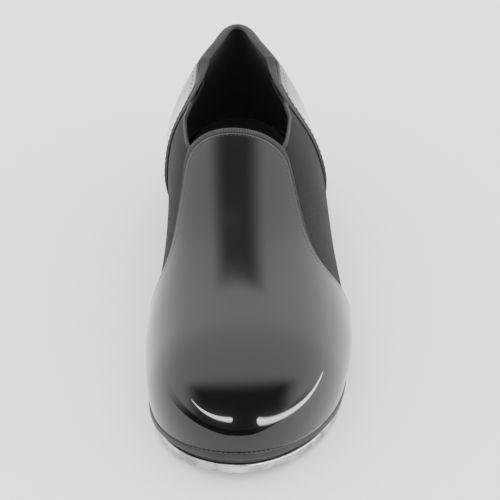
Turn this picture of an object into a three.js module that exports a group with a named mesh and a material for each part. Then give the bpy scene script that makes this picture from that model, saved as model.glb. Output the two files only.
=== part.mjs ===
import * as THREE from 'three';
import { mergeVertices } from 'three/addons/utils/BufferGeometryUtils.js';

// Left tap shoe. Millimetres, toe towards -Y, lateral side towards +X, ground at z = 0.
// "Station" is the distance back from the toe tip of the outsole.

// ---- overall sizes ----
const soleLength = 250;
const heelSeatRise = 16;          // heel seat above the tread
const toeSpring = 5.6;            // lift of the toe tip
const toeSpringStart = 46;
const riseStart = 82, riseEnd = soleLength - 60;
const toplineFront = 78.6, toplineBack = 86, toplineStart = soleLength - 72;
const ballWidthMedial = 41, ballWidthLateral = 47;

// ---- sole stack ----
const tapThickness = 5;
const tapBoardThickness = 2.5;
const outsoleThickness = 4;
const insoleThickness = 2;
const sockThickness = 1;
const fit = 0.3;                  // clearance left between glued or sewn faces
const treadHeight = tapThickness + fit + tapBoardThickness + fit + outsoleThickness;
const toeTapEnd = 68, toeBoardEnd = 71;
const heelBreast = soleLength - 60, heelTapFront = soleLength - 53;
const topLiftThickness = 4.5;
const lastingMargin = 9;          // upper turned under the insole board

// ---- upper layers, measured outward from the last ----
const liningIn = 0, liningOut = 0.8;
const gussetIn = 1.4, gussetOut = 2.3;    // gores and stiffeners
const shellIn = 2.6, shellOut = 4.0;       // vamp and quarters
const rootIn = 1.05, rootOut = 1.75;        // part of a binding sewn in under the edge
const tapeOut = 3.4, tapeIn = -0.8;        // part of a binding that shows
const lastInset = 4.8;                     // last inside the sole edge
const goreLap = 8;
const throatTape = 4.4, seamTape = 1.8, collarTape = 2.3, cornerTape = 3.4, frontTape = 4.3;   // binding showing past the edge
const tapeRoot = 3;

// ---- last: values every 25 mm from toe to heel ----
const soleMedial = [34, 39, 41.5, 40.5, 35, 31, 28.5, 28.5, 30, 31, 30];
const soleLateral = [31, 39, 45, 47.5, 45.5, 41.5, 38, 35, 32.5, 31, 30];
const bulgeMedial = [0, 0.5, 2.5, 4, 4.5, 5.5, 7.5, 9.5, 9, 8, 6];
const bulgeLateral = [0, 0.5, 2.5, 4, 5, 6, 8, 10, 9.5, 8, 6];
const ridge = [31, 36, 39, 42, 48, 55, 59.5, 54, 72, 110, 130];
const leanMax = 6.5, leanStart = soleLength - 82, leanSpan = 82, leanHold = 0.76, leanPower = 1.5;   // the ankle draws in towards the top
const fullness = [-0.03, -0.03, -0.03, -0.03, -0.035, -0.04, -0.04, -0.03, 0, 0, 0];
const skew = [0, 0, -0.5, -1.5, -3, -4, -4, -3, -1.5, -0.8, -0.5];
const axisShift = [-2.5, -1.5, 0, 0, 0, 0, 0, 0, 0, 0, 0];
const toeRound = 45, toePower = 2.4;
const heelRound = soleLength - 37, heelPower = 2.2, heelSpan = 45;
const bulgeHeight = 16;

// ---- seams: the edge of the vamp from the middle of the throat to the feather line ----
const vampEdgeMedial = {
  station: [144.6, 144.4, 143.6, 141.6, 138, 132.5, 125.5, 117, 108, 99.5, 92, 87, 84.5, 84, 84],
  angle: [0, 8, 15, 22, 27.5, 30.5, 31.5, 34, 36.5, 39, 43, 49, 59, 74, 90],
};
const vampEdgeLateral = {
  station: [144.6, 144.4, 143.6, 141.6, 138, 133, 126.5, 117, 107, 97.5, 90.5, 87, 87, 88.5, 90],
  angle: [0, 8, 16, 23.5, 29.5, 32, 33.5, 35, 36.5, 39, 43.5, 50, 61, 75, 90],
};
const hemLevel = 158;             // from here back the gore hem runs level
const throatCorner = 0.315;       // where the gore hem meets the vamp edge
const quarterFront = [80, 78, 76, 75, 74, 72.5, 69.5, 64, 53].map((back) => soleLength - back);   // from the sole up

// ---- fixings: [x, station] ----
const toeScrews = [[-22, 22], [17, 22], [-30, 57], [34, 57]];
const heelScrews = [[-17, soleLength - 38], [17, soleLength - 38], [0, soleLength - 15]];
const heelNails = [[-12, soleLength - 46], [12, soleLength - 46], [-9, soleLength - 25], [9, soleLength - 25]];
const screwHead = 2.8, screwShank = 1.3, nailHead = 2, nailShank = 0.9;

// ================= curves and the last =================
const clamp = (v, a, b) => Math.min(b, Math.max(a, v));
const lerp = (a, b, t) => a + (b - a) * t;
const ease = (t) => { t = clamp(t, 0, 1); return t * t * t * (10 - 15 * t + 6 * t * t); };

function spline(c, s) {
  const n = c.length - 1;
  const at = (i) => (i < 0 ? 2 * c[0] - c[1] : i > n ? 2 * c[n] - c[n - 1] : c[i]);
  const u = clamp(s, 0, 1) * n, i = Math.min(Math.floor(u), n - 1), f = u - i;
  return at(i - 1) * (1 - f) ** 3 / 6 + at(i) * (3 * f ** 3 - 6 * f * f + 4) / 6
    + at(i + 1) * (-3 * f ** 3 + 3 * f * f + 3 * f + 1) / 6 + at(i + 2) * f ** 3 / 6;
}

const along = (c, a) => spline(c, a / soleLength);
const seatHeight = (a) => treadHeight
  + toeSpring * Math.max(0, 1 - a / toeSpringStart) ** 2.5
  + heelSeatRise * ease((a - riseStart) / (riseEnd - riseStart));
const toeClose = (q) => clamp(1 - q / toeRound, 0, 1) ** toePower;
const topline = (a) => toplineFront + (toplineBack - toplineFront) * ease((a - toplineStart) / 64);

// Point of the last: q runs from the toe tip to the middle of the heel, phi from the ridge (0)
// down to the feather line, negative on the medial side.
function lastPoint(q, phi) {
  const beta = clamp((q - heelRound) / heelSpan, 0, 1) * Math.PI / 2;
  const q0 = Math.min(q, heelRound);
  const h = along(ridge, q0) * Math.sqrt(1 - toeClose(q0));
  const k = along(fullness, q0);
  let x = (Math.sin(phi) - k * Math.sin(3 * phi)) / (1 + k);
  const c = (Math.cos(phi) + k * Math.cos(3 * phi)) / (1 + k);
  const up = h * c;
  const t = up / 60;
  const back = soleLength - lastInset + 18 * t - 32 * t * t + 11 * t ** 3;
  let a = q0 + (q > heelRound ? (back - heelRound) * Math.sin(beta) ** (2 / heelPower) : 0);
  if (q < toeRound) a += lastInset * (1 - q / toeRound) ** 2;
  x *= Math.max(Math.abs(x), 1e-9) ** (leanMax * clamp((a - leanStart) / leanSpan, 0, leanHold) ** leanPower);
  const bulge = 1 - (1 - clamp(up / bulgeHeight, 0, 1)) ** 3;
  const med = along(soleMedial, a) - lastInset + along(bulgeMedial, a) * bulge;
  const lat = along(soleLateral, a) - lastInset + along(bulgeLateral, a) * bulge;
  const close = Math.sqrt(Math.max(0, 1 - toeClose(q))) * Math.cos(beta);
  const w = ((med + lat) / 2 + (lat - med) / 2 * Math.sin(phi)) * close;
  return new THREE.Vector3(w * x + along(skew, a) * c + along(axisShift, a),
    a - soleLength / 2, seatHeight(a) + up);
}

// The same point moved out along the normal.
function shell(q, phi, out) {
  const p = lastPoint(q, phi);
  if (out === 0) return p;
  if (q < 1e-3) return p.add(new THREE.Vector3(0, -out, 0));
  const dq = Math.min(0.05, q / 4), df = 0.002;
  const hi = Math.min(q + dq, heelRound + heelSpan);
  const a = lastPoint(hi, phi).sub(lastPoint(hi - 2 * dq, phi));
  const b = lastPoint(q, phi + df).sub(lastPoint(q, phi - df));
  if (q > heelRound + heelSpan - 1e-3) a.set(-Math.sign(phi), 0, 0);
  const n = b.cross(a).normalize();
  return p.addScaledVector(n, out);
}

const above = (p) => p.z - seatHeight(p.y + soleLength / 2);
function bisect(f, lo, hi) {
  for (let i = 0; i < 34; i++) {
    const mid = (lo + hi) / 2;
    if (f(mid) > 0) lo = mid; else hi = mid;
  }
  return (lo + hi) / 2;
}
// Angle at which a layer stands `level` above the sole, and at which it meets the height z.
const foot = (q, side, out, level) =>
  bisect((f) => above(shell(q, side * f, out)) - level, 0, Math.PI / 2);
const rim = (q, side, out, drop = 0) =>
  bisect((f) => { const p = shell(q, side * f, out); return p.z - topline(p.y + soleLength / 2) + drop; }, 0.02, Math.PI / 2);

// ================= solids =================
function solid(points, faces) {
  const g = new THREE.BufferGeometry();
  g.setAttribute('position', new THREE.Float32BufferAttribute(points.flatMap((p) => [p.x, p.y, p.z]), 3));
  g.setIndex(faces);
  const m = mergeVertices(g, 1e-3);
  const idx = m.index.array, pos = m.attributes.position, keep = [];
  let volume = 0;
  const a = new THREE.Vector3(), b = new THREE.Vector3(), c = new THREE.Vector3();
  for (let i = 0; i < idx.length; i += 3) {
    const [i0, i1, i2] = [idx[i], idx[i + 1], idx[i + 2]];
    if (i0 === i1 || i1 === i2 || i0 === i2) continue;
    keep.push(i0, i1, i2);
    volume += a.fromBufferAttribute(pos, i0).dot(b.fromBufferAttribute(pos, i1).cross(c.fromBufferAttribute(pos, i2)));
  }
  if (volume < 0) for (let i = 0; i < keep.length; i += 3) [keep[i + 1], keep[i + 2]] = [keep[i + 2], keep[i + 1]];
  m.setIndex(keep);
  m.computeVertexNormals();
  return m;
}

// Closed body between an outer and an inner grid of points. With `pole` the first row is one point.
function slab(outer, inner, pole = false) {
  const rows = outer.length, cols = outer[0].length, n = rows * cols, faces = [];
  const quad = (a, b, c, d) => faces.push(a, b, c, a, c, d);
  const id = (i, j) => i * cols + j;
  for (let i = 0; i < rows - 1; i++) for (let j = 0; j < cols - 1; j++) {
    quad(id(i, j), id(i + 1, j), id(i + 1, j + 1), id(i, j + 1));
    quad(n + id(i, j), n + id(i, j + 1), n + id(i + 1, j + 1), n + id(i + 1, j));
  }
  for (let i = 0; i < rows - 1; i++) {
    quad(id(i, 0), n + id(i, 0), n + id(i + 1, 0), id(i + 1, 0));
    quad(id(i, cols - 1), id(i + 1, cols - 1), n + id(i + 1, cols - 1), n + id(i, cols - 1));
  }
  for (let j = 0; j < cols - 1; j++) {
    if (!pole) quad(id(0, j), id(0, j + 1), n + id(0, j + 1), n + id(0, j));
    quad(id(rows - 1, j), n + id(rows - 1, j), n + id(rows - 1, j + 1), id(rows - 1, j + 1));
  }
  return solid([...outer.flat(), ...inner.flat()], faces);
}

// Closed section swept through a list of rings, ends capped with a fan.
function sweep(rings) {
  const m = rings[0].length, faces = [], points = rings.flat();
  for (let i = 0; i < rings.length - 1; i++) for (let j = 0; j < m; j++) {
    const k = (j + 1) % m, a = i * m;
    faces.push(a + j, a + m + j, a + m + k, a + j, a + m + k, a + k);
  }
  const flat = (ring, base, flip) => {
    const o = ring[0], u = ring[1].clone().sub(o).normalize();
    const w = new THREE.Vector3();
    for (let j = 1; j < m - 1; j++) w.add(ring[j].clone().sub(o).cross(ring[j + 1].clone().sub(o)));
    w.normalize();
    const v = w.clone().cross(u);
    const contour = ring.map((p) => new THREE.Vector2(p.clone().sub(o).dot(u), p.clone().sub(o).dot(v)));
    for (const [a, b, c] of THREE.ShapeUtils.triangulateShape(contour, [])) {
      const turn = contour[b].clone().sub(contour[a]).cross(contour[c].clone().sub(contour[a])) > 0;
      faces.push(...(turn === flip ? [base + a, base + c, base + b] : [base + a, base + b, base + c]));
    }
  };
  flat(rings[0], 0, false);
  flat(rings.at(-1), (rings.length - 1) * m, true);
  return solid(points, faces);
}

// Half width of the sole outline drawn in by `inset`.
function halfWidth(a, side, inset) {
  const s = clamp((a - inset) / (soleLength - 2 * inset), 0, 1) * soleLength;
  const toe = Math.sqrt(Math.max(0, 1 - toeClose(s)));
  const heel = Math.sqrt(Math.max(0, 1 - clamp((s - heelRound) / (soleLength - heelRound), 0, 1) ** heelPower));
  const w = along(side < 0 ? soleMedial : soleLateral, s) - inset;
  return side * w * toe * heel + along(axisShift, s);
}

// Plate cut from the sole outline between two stations. `walls` lists [inset, fraction of thickness],
// `holes` lists { x, a, steps: [[fraction, radius], ...], end } where end closes a blind hole.
function plate({ from, to, inset, bottom, top, walls = [[0, 0], [0, 1]], holes = [], cuts = [] }) {
  const first = Math.max(from, inset), last = Math.min(to, soleLength - inset);
  const set = new Set([first, last, ...cuts]);
  for (let i = 1; i < 9; i++) set.add(inset + toeRound * (1 - Math.cos(i / 9 * Math.PI / 2)));
  for (let a = 54; a <= heelRound; a += 9) set.add(a);
  for (let i = 1; i < 9; i++) set.add(soleLength - inset - (soleLength - heelRound) * (1 - Math.cos(i / 9 * Math.PI / 2)));
  const crossed = (a) => holes.some((h) => Math.abs(h.a - a) < Math.max(...h.steps.map((s) => s[1])) + 0.4);
  let stations = [...set].filter((a) => a >= first && a <= last && (a === first || a === last || !crossed(a))).sort((a, b) => a - b);
  stations = stations.filter((a, i) => i === 0 || a === last || a - stations[i - 1] > 0.3);
  const points = [], faces = [];
  const z = (y, f) => lerp(bottom(y + soleLength / 2), top(y + soleLength / 2), f);
  const put = (x, y, f) => points.push(new THREE.Vector3(x, y, z(y, f))) - 1;
  const tri = (a, b, c) => faces.push(a, b, c);
  const edge = (a, side, extra) => {
    const s = clamp(a, first + extra, last - extra);
    return [halfWidth(s, side, inset + extra), s - soleLength / 2];
  };
  const rings = walls.map(([extra, f]) => stations.map((a) => [-1, 1].map((side) => put(...edge(a, side, extra), f))));
  // walls
  for (let w = 0; w < walls.length - 1; w++) {
    const lo = rings[w], hi = rings[w + 1];
    for (let i = 0; i < stations.length - 1; i++) {
      tri(lo[i][0], hi[i][0], hi[i + 1][0]); tri(lo[i][0], hi[i + 1][0], lo[i + 1][0]);
      tri(lo[i][1], hi[i + 1][1], hi[i][1]); tri(lo[i][1], lo[i + 1][1], hi[i + 1][1]);
    }
    const n = stations.length - 1;
    tri(lo[0][0], lo[0][1], hi[0][1]); tri(lo[0][0], hi[0][1], hi[0][0]);
    tri(lo[n][0], hi[n][1], lo[n][1]); tri(lo[n][0], hi[n][0], hi[n][1]);
  }
  // faces, strip by strip, with the holes that fall in each strip
  const side = 12;
  const circle = (h, r, f) => Array.from({ length: side }, (_, i) => {
    const t = i / side * 2 * Math.PI;
    return put(h.x + r * Math.cos(t), h.a - soleLength / 2 + r * Math.sin(t), f);
  });
  const mouths = holes.map((h) => h.steps.map(([f, r]) => circle(h, r, f)));
  const face = (ring, f, flip) => {
    for (let i = 0; i < stations.length - 1; i++) {
      const loop = [ring[i][0], ring[i][1], ring[i + 1][1], ring[i + 1][0]];
      const cut = [];
      holes.forEach((h, k) => {
        const at = f === 0 ? 0 : h.steps.length - 1;
        if (h.steps[at][0] === f && h.a > stations[i] && h.a < stations[i + 1]) cut.push(mouths[k][at]);
      });
      const v2 = (list) => list.map((j) => new THREE.Vector2(points[j].x, points[j].y));
      const ids = [...loop, ...cut.flat()];
      const same = points[loop[0]].distanceTo(points[loop[1]]) < 1e-6;
      const tris = same ? [[0, 2, 3]] : THREE.ShapeUtils.triangulateShape(v2(loop), cut.map(v2));
      for (const [a, b, c] of tris) {
        const [p, q, r] = [points[ids[a]], points[ids[b]], points[ids[c]]];
        const ccw = (q.x - p.x) * (r.y - p.y) - (q.y - p.y) * (r.x - p.x) > 0;
        if (ccw !== flip) tri(ids[a], ids[b], ids[c]); else tri(ids[a], ids[c], ids[b]);
      }
    }
  };
  face(rings[0], 0, true);
  face(rings.at(-1), 1, false);
  holes.forEach((h, k) => {
    const m = mouths[k];
    for (let s = 0; s < m.length - 1; s++) for (let i = 0; i < side; i++) {
      const j = (i + 1) % side;
      tri(m[s][i], m[s + 1][i], m[s + 1][j]); tri(m[s][i], m[s + 1][j], m[s][j]);
    }
    for (const [at, up] of [[0, false], [m.length - 1, true]]) {
      if (h.steps[at][0] === (up ? 1 : 0)) continue;
      for (let i = 1; i < side - 1; i++) up ? tri(m[at][0], m[at][i + 1], m[at][i]) : tri(m[at][0], m[at][i], m[at][i + 1]);
    }
  });
  return solid(points, faces);
}

// ================= materials =================
const material = (name, color, metalness, roughness) => {
  const m = new THREE.MeshStandardMaterial({ color, metalness, roughness });
  m.name = name;
  return m;
};
const patent = material('patent_leather', 0x141414, 0, 0.08);
const gusset = material('elastic_gore', 0x2c2c2c, 0, 0.9);
const tape = material('binding_tape', 0x3a3a3a, 0, 0.8);
const cloth = material('lining_cloth', 0x1b1b1b, 0, 0.95);
const stiffener = material('stiffener_board', 0xb9a888, 0, 0.9);
const board = material('insole_fibre', 0x8c7a5e, 0, 0.9);
const foam = material('sock_foam', 0x1e1e1e, 0, 0.95);
const cork = material('filler_cork', 0x9a7448, 0, 0.95);
const soleMaterial = material('sole_composition', 0x3a3a3a, 0, 0.5);
const heelMaterial = material('heel_composition', 0x262626, 0, 0.45);
const rubber = material('tap_board_rubber', 0x1a1a1a, 0, 0.85);
const aluminium = material('tap_aluminium', 0xcfd2d4, 1, 0.35);
const steel = material('fixing_steel', 0xb4b6b8, 1, 0.3);

const shoe = new THREE.Group();
shoe.name = 'tap_shoe';
const add = (name, geometry, mat) => {
  const mesh = new THREE.Mesh(geometry, mat);
  mesh.name = name;
  shoe.add(mesh);
  return mesh;
};

// ================= sole, heel and taps =================
const soleBottom = (a) => seatHeight(a) - outsoleThickness;
const boardTop = (a) => soleBottom(a) - fit;
const boardBottom = (a) => boardTop(a) - tapBoardThickness;
const tapTop = (a) => boardBottom(a) - fit;
const tapBottom = (a) => tapTop(a) - tapThickness;
const flat = (z) => () => z;
const drill = (list, steps) => list.map(([x, a]) => ({ x, a, steps }));
const bevel = 1;

add('toe_tap', plate({
  from: 0, to: toeTapEnd, inset: 1.5, bottom: tapBottom, top: tapTop,
  walls: [[bevel, 0], [0, bevel / tapThickness], [0, 1]],
  holes: drill(toeScrews, [[0, screwHead + 1.1], [0.5, screwShank + 0.35], [1, screwShank + 0.35]]),
}), aluminium);
add('toe_tap_board', plate({
  from: 0, to: toeBoardEnd, inset: 2.5, bottom: boardBottom, top: boardTop,
  holes: drill(toeScrews, [[0, screwShank + 0.35], [1, screwShank + 0.35]]),
}), rubber);
add('outsole', plate({
  from: 0, to: soleLength, inset: 0, bottom: soleBottom, top: seatHeight,
  holes: [
    ...drill(toeScrews, [[0, screwShank + 0.35], [0.72, screwShank + 0.35]]),
    ...drill(heelNails, [[0, nailShank + 0.35], [1, nailShank + 0.35]]),
  ],
}), soleMaterial);

const liftTop = tapThickness + fit + topLiftThickness;
const blockBottom = liftTop + fit;
const blockTop = (a) => soleBottom(a) - fit;
const blockHeight = blockTop(soleLength) - blockBottom;
add('heel_tap', plate({
  from: heelTapFront, to: soleLength, inset: 4, bottom: flat(0), top: flat(tapThickness),
  walls: [[bevel, 0], [0, bevel / tapThickness], [0, 1]],
  holes: drill(heelScrews, [[0, screwHead + 1.1], [0.5, screwShank + 0.35], [1, screwShank + 0.35]]),
}), aluminium);
add('heel_top_lift', plate({
  from: heelBreast + 2, to: soleLength, inset: 3.4, bottom: flat(tapThickness + fit), top: flat(liftTop),
  holes: drill(heelScrews, [[0, screwShank + 0.35], [1, screwShank + 0.35]]),
}), rubber);
add('heel_block', plate({
  from: heelBreast, to: soleLength, inset: 1.2, bottom: flat(blockBottom), top: blockTop,
  walls: [[2, 0], [0.6, 0.45], [0, 1]],
  holes: [
    ...drill(heelScrews, [[0, screwShank + 0.35], [0.3, screwShank + 0.35]]),
    ...drill(heelNails, [[0.42, nailShank + 0.35], [1, nailShank + 0.35]]),
  ],
}), heelMaterial);

const insoleBottom = (a) => seatHeight(a) + 2;
const insoleTop = (a) => insoleBottom(a) + insoleThickness;
add('insole_board', plate({
  from: 0, to: soleLength, inset: lastInset + 0.4, bottom: insoleBottom, top: insoleTop,
  holes: drill(heelNails, [[0, nailShank + 0.35], [0.5, nailShank + 0.35], [0.5, nailHead + 0.4], [1, nailHead + 0.4]]),
}), board);
add('sock_liner', plate({
  from: 0, to: soleLength, inset: lastInset + 0.8,
  bottom: (a) => insoleTop(a) + fit, top: (a) => insoleTop(a) + fit + sockThickness,
}), foam);
const fillerInset = lastInset + lastingMargin + 2.2;
add('bottom_filler', plate({
  from: 0, to: 104, inset: fillerInset, bottom: (a) => seatHeight(a) + fit, top: (a) => insoleBottom(a) - fit,
}), cork);

// steel shank: a bar following the waist
const shankRows = Array.from({ length: 16 }, (_, i) => 108 + i * 6);
const bar = (z) => shankRows.map((a) => [-5.5, 5.5].map((x) =>
  new THREE.Vector3(x + along(skew, a) * 0.3, a - soleLength / 2, z(a))));
add('shank', slab(bar((a) => insoleBottom(a) - fit), bar((a) => seatHeight(a) + fit)), steel);

// ================= fixings =================
const turned = (profile) => {
  const g = new THREE.LatheGeometry(profile.map(([r, h]) => new THREE.Vector2(r, h)), 12);
  g.deleteAttribute('normal'); g.deleteAttribute('uv');
  const p = g.attributes.position, list = [];
  for (let i = 0; i < p.count; i++) list.push(new THREE.Vector3(p.getX(i), -p.getZ(i), p.getY(i)));
  return solid(list, [...g.index.array]);
};
const screwLength = tapThickness + 2 * fit + tapBoardThickness + 2.4;
const screwBody = [[0, 0.4], [screwHead, 0.4], [screwHead, 0.65], [screwShank, 2.4],
  [screwShank, screwLength - 0.8], [0.4, screwLength], [0, screwLength]];
toeScrews.forEach(([x, a], i) => {
  add(`toe_tap_screw_${i + 1}`, turned(screwBody).translate(x, a - soleLength / 2, tapBottom(a)), steel);
});
const heelScrewLength = tapThickness + fit + topLiftThickness + fit + 3.2;
const heelScrewBody = screwBody.map(([r, h]) => [r, h > 3 ? h + heelScrewLength - screwLength : h]);
heelScrews.forEach(([x, a], i) => {
  add(`heel_tap_screw_${i + 1}`, turned(heelScrewBody).translate(x, a - soleLength / 2, 0), steel);
});
const nailTop = insoleTop(soleLength) - 0.1, nailTip = blockBottom + blockHeight * 0.46;
heelNails.forEach(([x, a], i) => {
  add(`heel_nail_${i + 1}`, turned([[0, nailTip], [0.25, nailTip], [nailShank, nailTip + 2],
    [nailShank, nailTop - 0.6], [nailHead, nailTop - 0.6], [nailHead, nailTop], [0, nailTop]])
    .translate(x, a - soleLength / 2, 0), steel);
});

// ================= front of the upper =================
const rad = Math.PI / 180;
const vampEdge = (side, t) => {
  const e = side < 0 ? vampEdgeMedial : vampEdgeLateral;
  return { q: spline(e.station, t), f: spline(e.angle, t) * rad };
};

// Step of `dist` mm across an edge curve, measured on the surface; negative goes off the piece.
function across(curve, t, dist, out, hand) {
  const e = curve(t), g = curve(t + 1e-3), b = curve(t - 1e-3);
  const p = (q, f) => shell(q, f, out);
  const pq = p(e.q + 0.1, e.f).sub(p(e.q - 0.1, e.f)).multiplyScalar(5);
  const pf = p(e.q, e.f + 0.005).sub(p(e.q, e.f - 0.005)).multiplyScalar(100);
  const tan = pq.clone().multiplyScalar(g.q - b.q).addScaledVector(pf, g.f - b.f);
  const dir = pq.clone().cross(pf).cross(tan).normalize().multiplyScalar(hand * dist);
  const aa = pq.dot(pq), bb = pf.dot(pf), ab = pq.dot(pf), da = pq.dot(dir), db = pf.dot(dir);
  const det = aa * bb - ab * ab;
  return { q: e.q + (da * bb - db * ab) / det, f: e.f + (db * aa - da * ab) / det };
}

// Grid from the toe to an edge curve: rows run across the shoe, the first one is the toe point.
function toeGrid({ out, level, edge, rows, cols, toeRows, margin = 0 }) {
  const start = bisect((q) => level - above(shell(q, 0, out)), 0, 3);
  const grid = [];
  for (let i = 0; i <= rows; i++) {
    const row = [];
    for (let j = -cols; j <= cols; j++) {
      const side = j < 0 ? -1 : 1, t = Math.abs(j) / cols;
      const e = edge(side, t);
      const q = i <= toeRows
        ? start + (toeRound - start) * (1 - Math.cos(i / toeRows * Math.PI / 2)) * Math.min(1, e.q / toeRound)
        : lerp(toeRound, e.q, (i - toeRows) / (rows - toeRows));
      const base = i === 0 ? 0 : foot(q, side, out, level);
      const share = e.f / foot(e.q, side, out, level);
      const f = base * lerp(t, Math.min(1, share), t === 1 ? 1 : ease(i / rows));
      row.push(i === 0 ? shell(start, 0, out) : shell(q, side * (t === 1 ? base : f), out));
    }
    if (margin) for (const side of [-1, 1]) {
      const e = edge(side, 1);
      const q = i <= toeRows ? toeRound * (1 - Math.cos(i / toeRows * Math.PI / 2)) : lerp(toeRound, e.q, (i - toeRows) / (rows - toeRows));
      const p = underPoint(q, side, level);
      if (side < 0) row.unshift(p); else row.push(p);
    }
    grid.push(row);
  }
  return grid;
}

// Inner end of the lasting margin.
function underPoint(q, side, level) {
  const inset = lastInset + lastingMargin;
  const turn = Math.sin(clamp((q - heelRound) / heelSpan, 0, 1) * Math.PI / 2) ** (2 / heelPower);
  const a = q < toeRound ? lerp(inset, toeRound, q / toeRound) : Math.min(q, heelRound) + turn * (soleLength - inset - heelRound);
  return new THREE.Vector3(halfWidth(a, side, inset), a - soleLength / 2, seatHeight(a) + level);
}

const vampRows = 19, vampCols = 15, vampToe = 8;
const vampGrid = (out, level) => toeGrid({ out, level, edge: vampEdge, rows: vampRows, cols: vampCols, toeRows: vampToe, margin: 1 });
add('vamp', slab(vampGrid(shellOut, fit), vampGrid(shellIn, fit + shellOut - shellIn), true), patent);

const liningGrid = (out) => toeGrid({ out, level: 2, edge: vampEdge, rows: 15, cols: 13, toeRows: 6 });
add('vamp_lining', slab(liningGrid(liningOut), liningGrid(liningIn), true), cloth);

const puffEdge = (side, t) => ({ q: 36, f: t * foot(36, side, gussetOut, 2) });
const puffGrid = (out) => toeGrid({ out, level: 2, edge: puffEdge, rows: 8, cols: 10, toeRows: 8 });
add('toe_puff', slab(puffGrid(gussetOut), puffGrid(gussetIn), true), stiffener);

// ================= rear of the upper =================
// One coordinate right round the heel: 0..258 medial, 258..516 lateral.
const heelEnd = heelRound + heelSpan;
const unroll = (u) => (u <= heelEnd ? { q: u, side: -1 } : { q: 2 * heelEnd - u, side: 1 });
const rollShell = (u, f, out) => {
  const { q, side } = unroll(u);
  const p = shell(Math.min(q, heelEnd - 0.02), side * f, out);
  return p;
};

const quarterPoint = (side, w, v, out, level, end) => {
  const qf = spline(quarterFront, v);
  const q = lerp(qf, end, w);
  const f = lerp(foot(q, side, out, level), rim(q, side, out), v);
  return shell(q, side * f, out);
};
const quarterRows = 17, quarterCols = 10;
const spread = (i) => { const t = i / quarterRows; return lerp(t, Math.sin(t * Math.PI / 2), 0.35); };
const backGap = heelEnd - 0.25;
for (const [name, side] of [['quarter_medial', -1], ['quarter_lateral', 1]]) {
  const grid = (out, level) => Array.from({ length: quarterRows + 1 }, (_, i) => {
    const row = [underPoint(lerp(quarterFront[0], backGap, spread(i)), side, level)];
    for (let j = 0; j <= quarterCols; j++) {
      const v = j / quarterCols;
      row.push(quarterPoint(side, spread(i), 1 - (1 - v) ** 1.0, out, level, backGap));
    }
    return row;
  });
  add(name, slab(grid(shellOut, fit), grid(shellIn, fit + shellOut - shellIn)), patent);
}

// lining round the heel in one piece
{
  const cols = 6, rows = 36;
  const grid = (out) => Array.from({ length: rows + 1 }, (_, i) => {
    const row = [];
    for (let j = 0; j <= cols; j++) {
      const v = j / cols, qf = spline(quarterFront, v) + 0.6;
      const { q, side } = unroll(lerp(qf, 2 * heelEnd - qf, i / rows));
      const f = lerp(foot(q, side, out, 2), rim(q, side, out, 1), v);
      row.push(shell(Math.min(q, heelEnd - 0.02), side * f, out));
    }
    return row;
  });
  add('quarter_lining', slab(grid(liningOut), grid(liningIn)), cloth);
}

// heel counter
{
  const cols = 6, rows = 24, front = heelRound - 19;
  const grid = (out) => Array.from({ length: rows + 1 }, (_, i) => {
    const { q, side } = unroll(lerp(front, 2 * heelEnd - front, i / rows));
    const height = lerp(26, 40, ease((q - front) / (heelEnd - front)));
    const lo = foot(q, side, out, 2), hi = foot(q, side, out, height);
    return Array.from({ length: cols + 1 }, (_, j) => shell(Math.min(q, heelEnd - 0.02), side * lerp(lo, hi, j / cols), out));
  });
  add('heel_counter', slab(grid(1.8), grid(1.1)), stiffener);
}

// strip over the back seam
{
  const cols = 10, rows = 8, reach = 8;
  const grid = (out) => Array.from({ length: rows + 1 }, (_, i) => {
    const { q, side } = unroll(heelEnd - reach + 2 * reach * i / rows);
    const lo = foot(q, side, out, 1.2), hi = rim(q, side, out, 0.6);
    return Array.from({ length: cols + 1 }, (_, j) => shell(Math.min(q, heelEnd - 0.02), side * lerp(lo, hi, j / cols), out));
  });
  add('backstay', slab(grid(shellOut + 0.9 + fit), grid(shellOut + fit)), patent);
}

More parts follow.
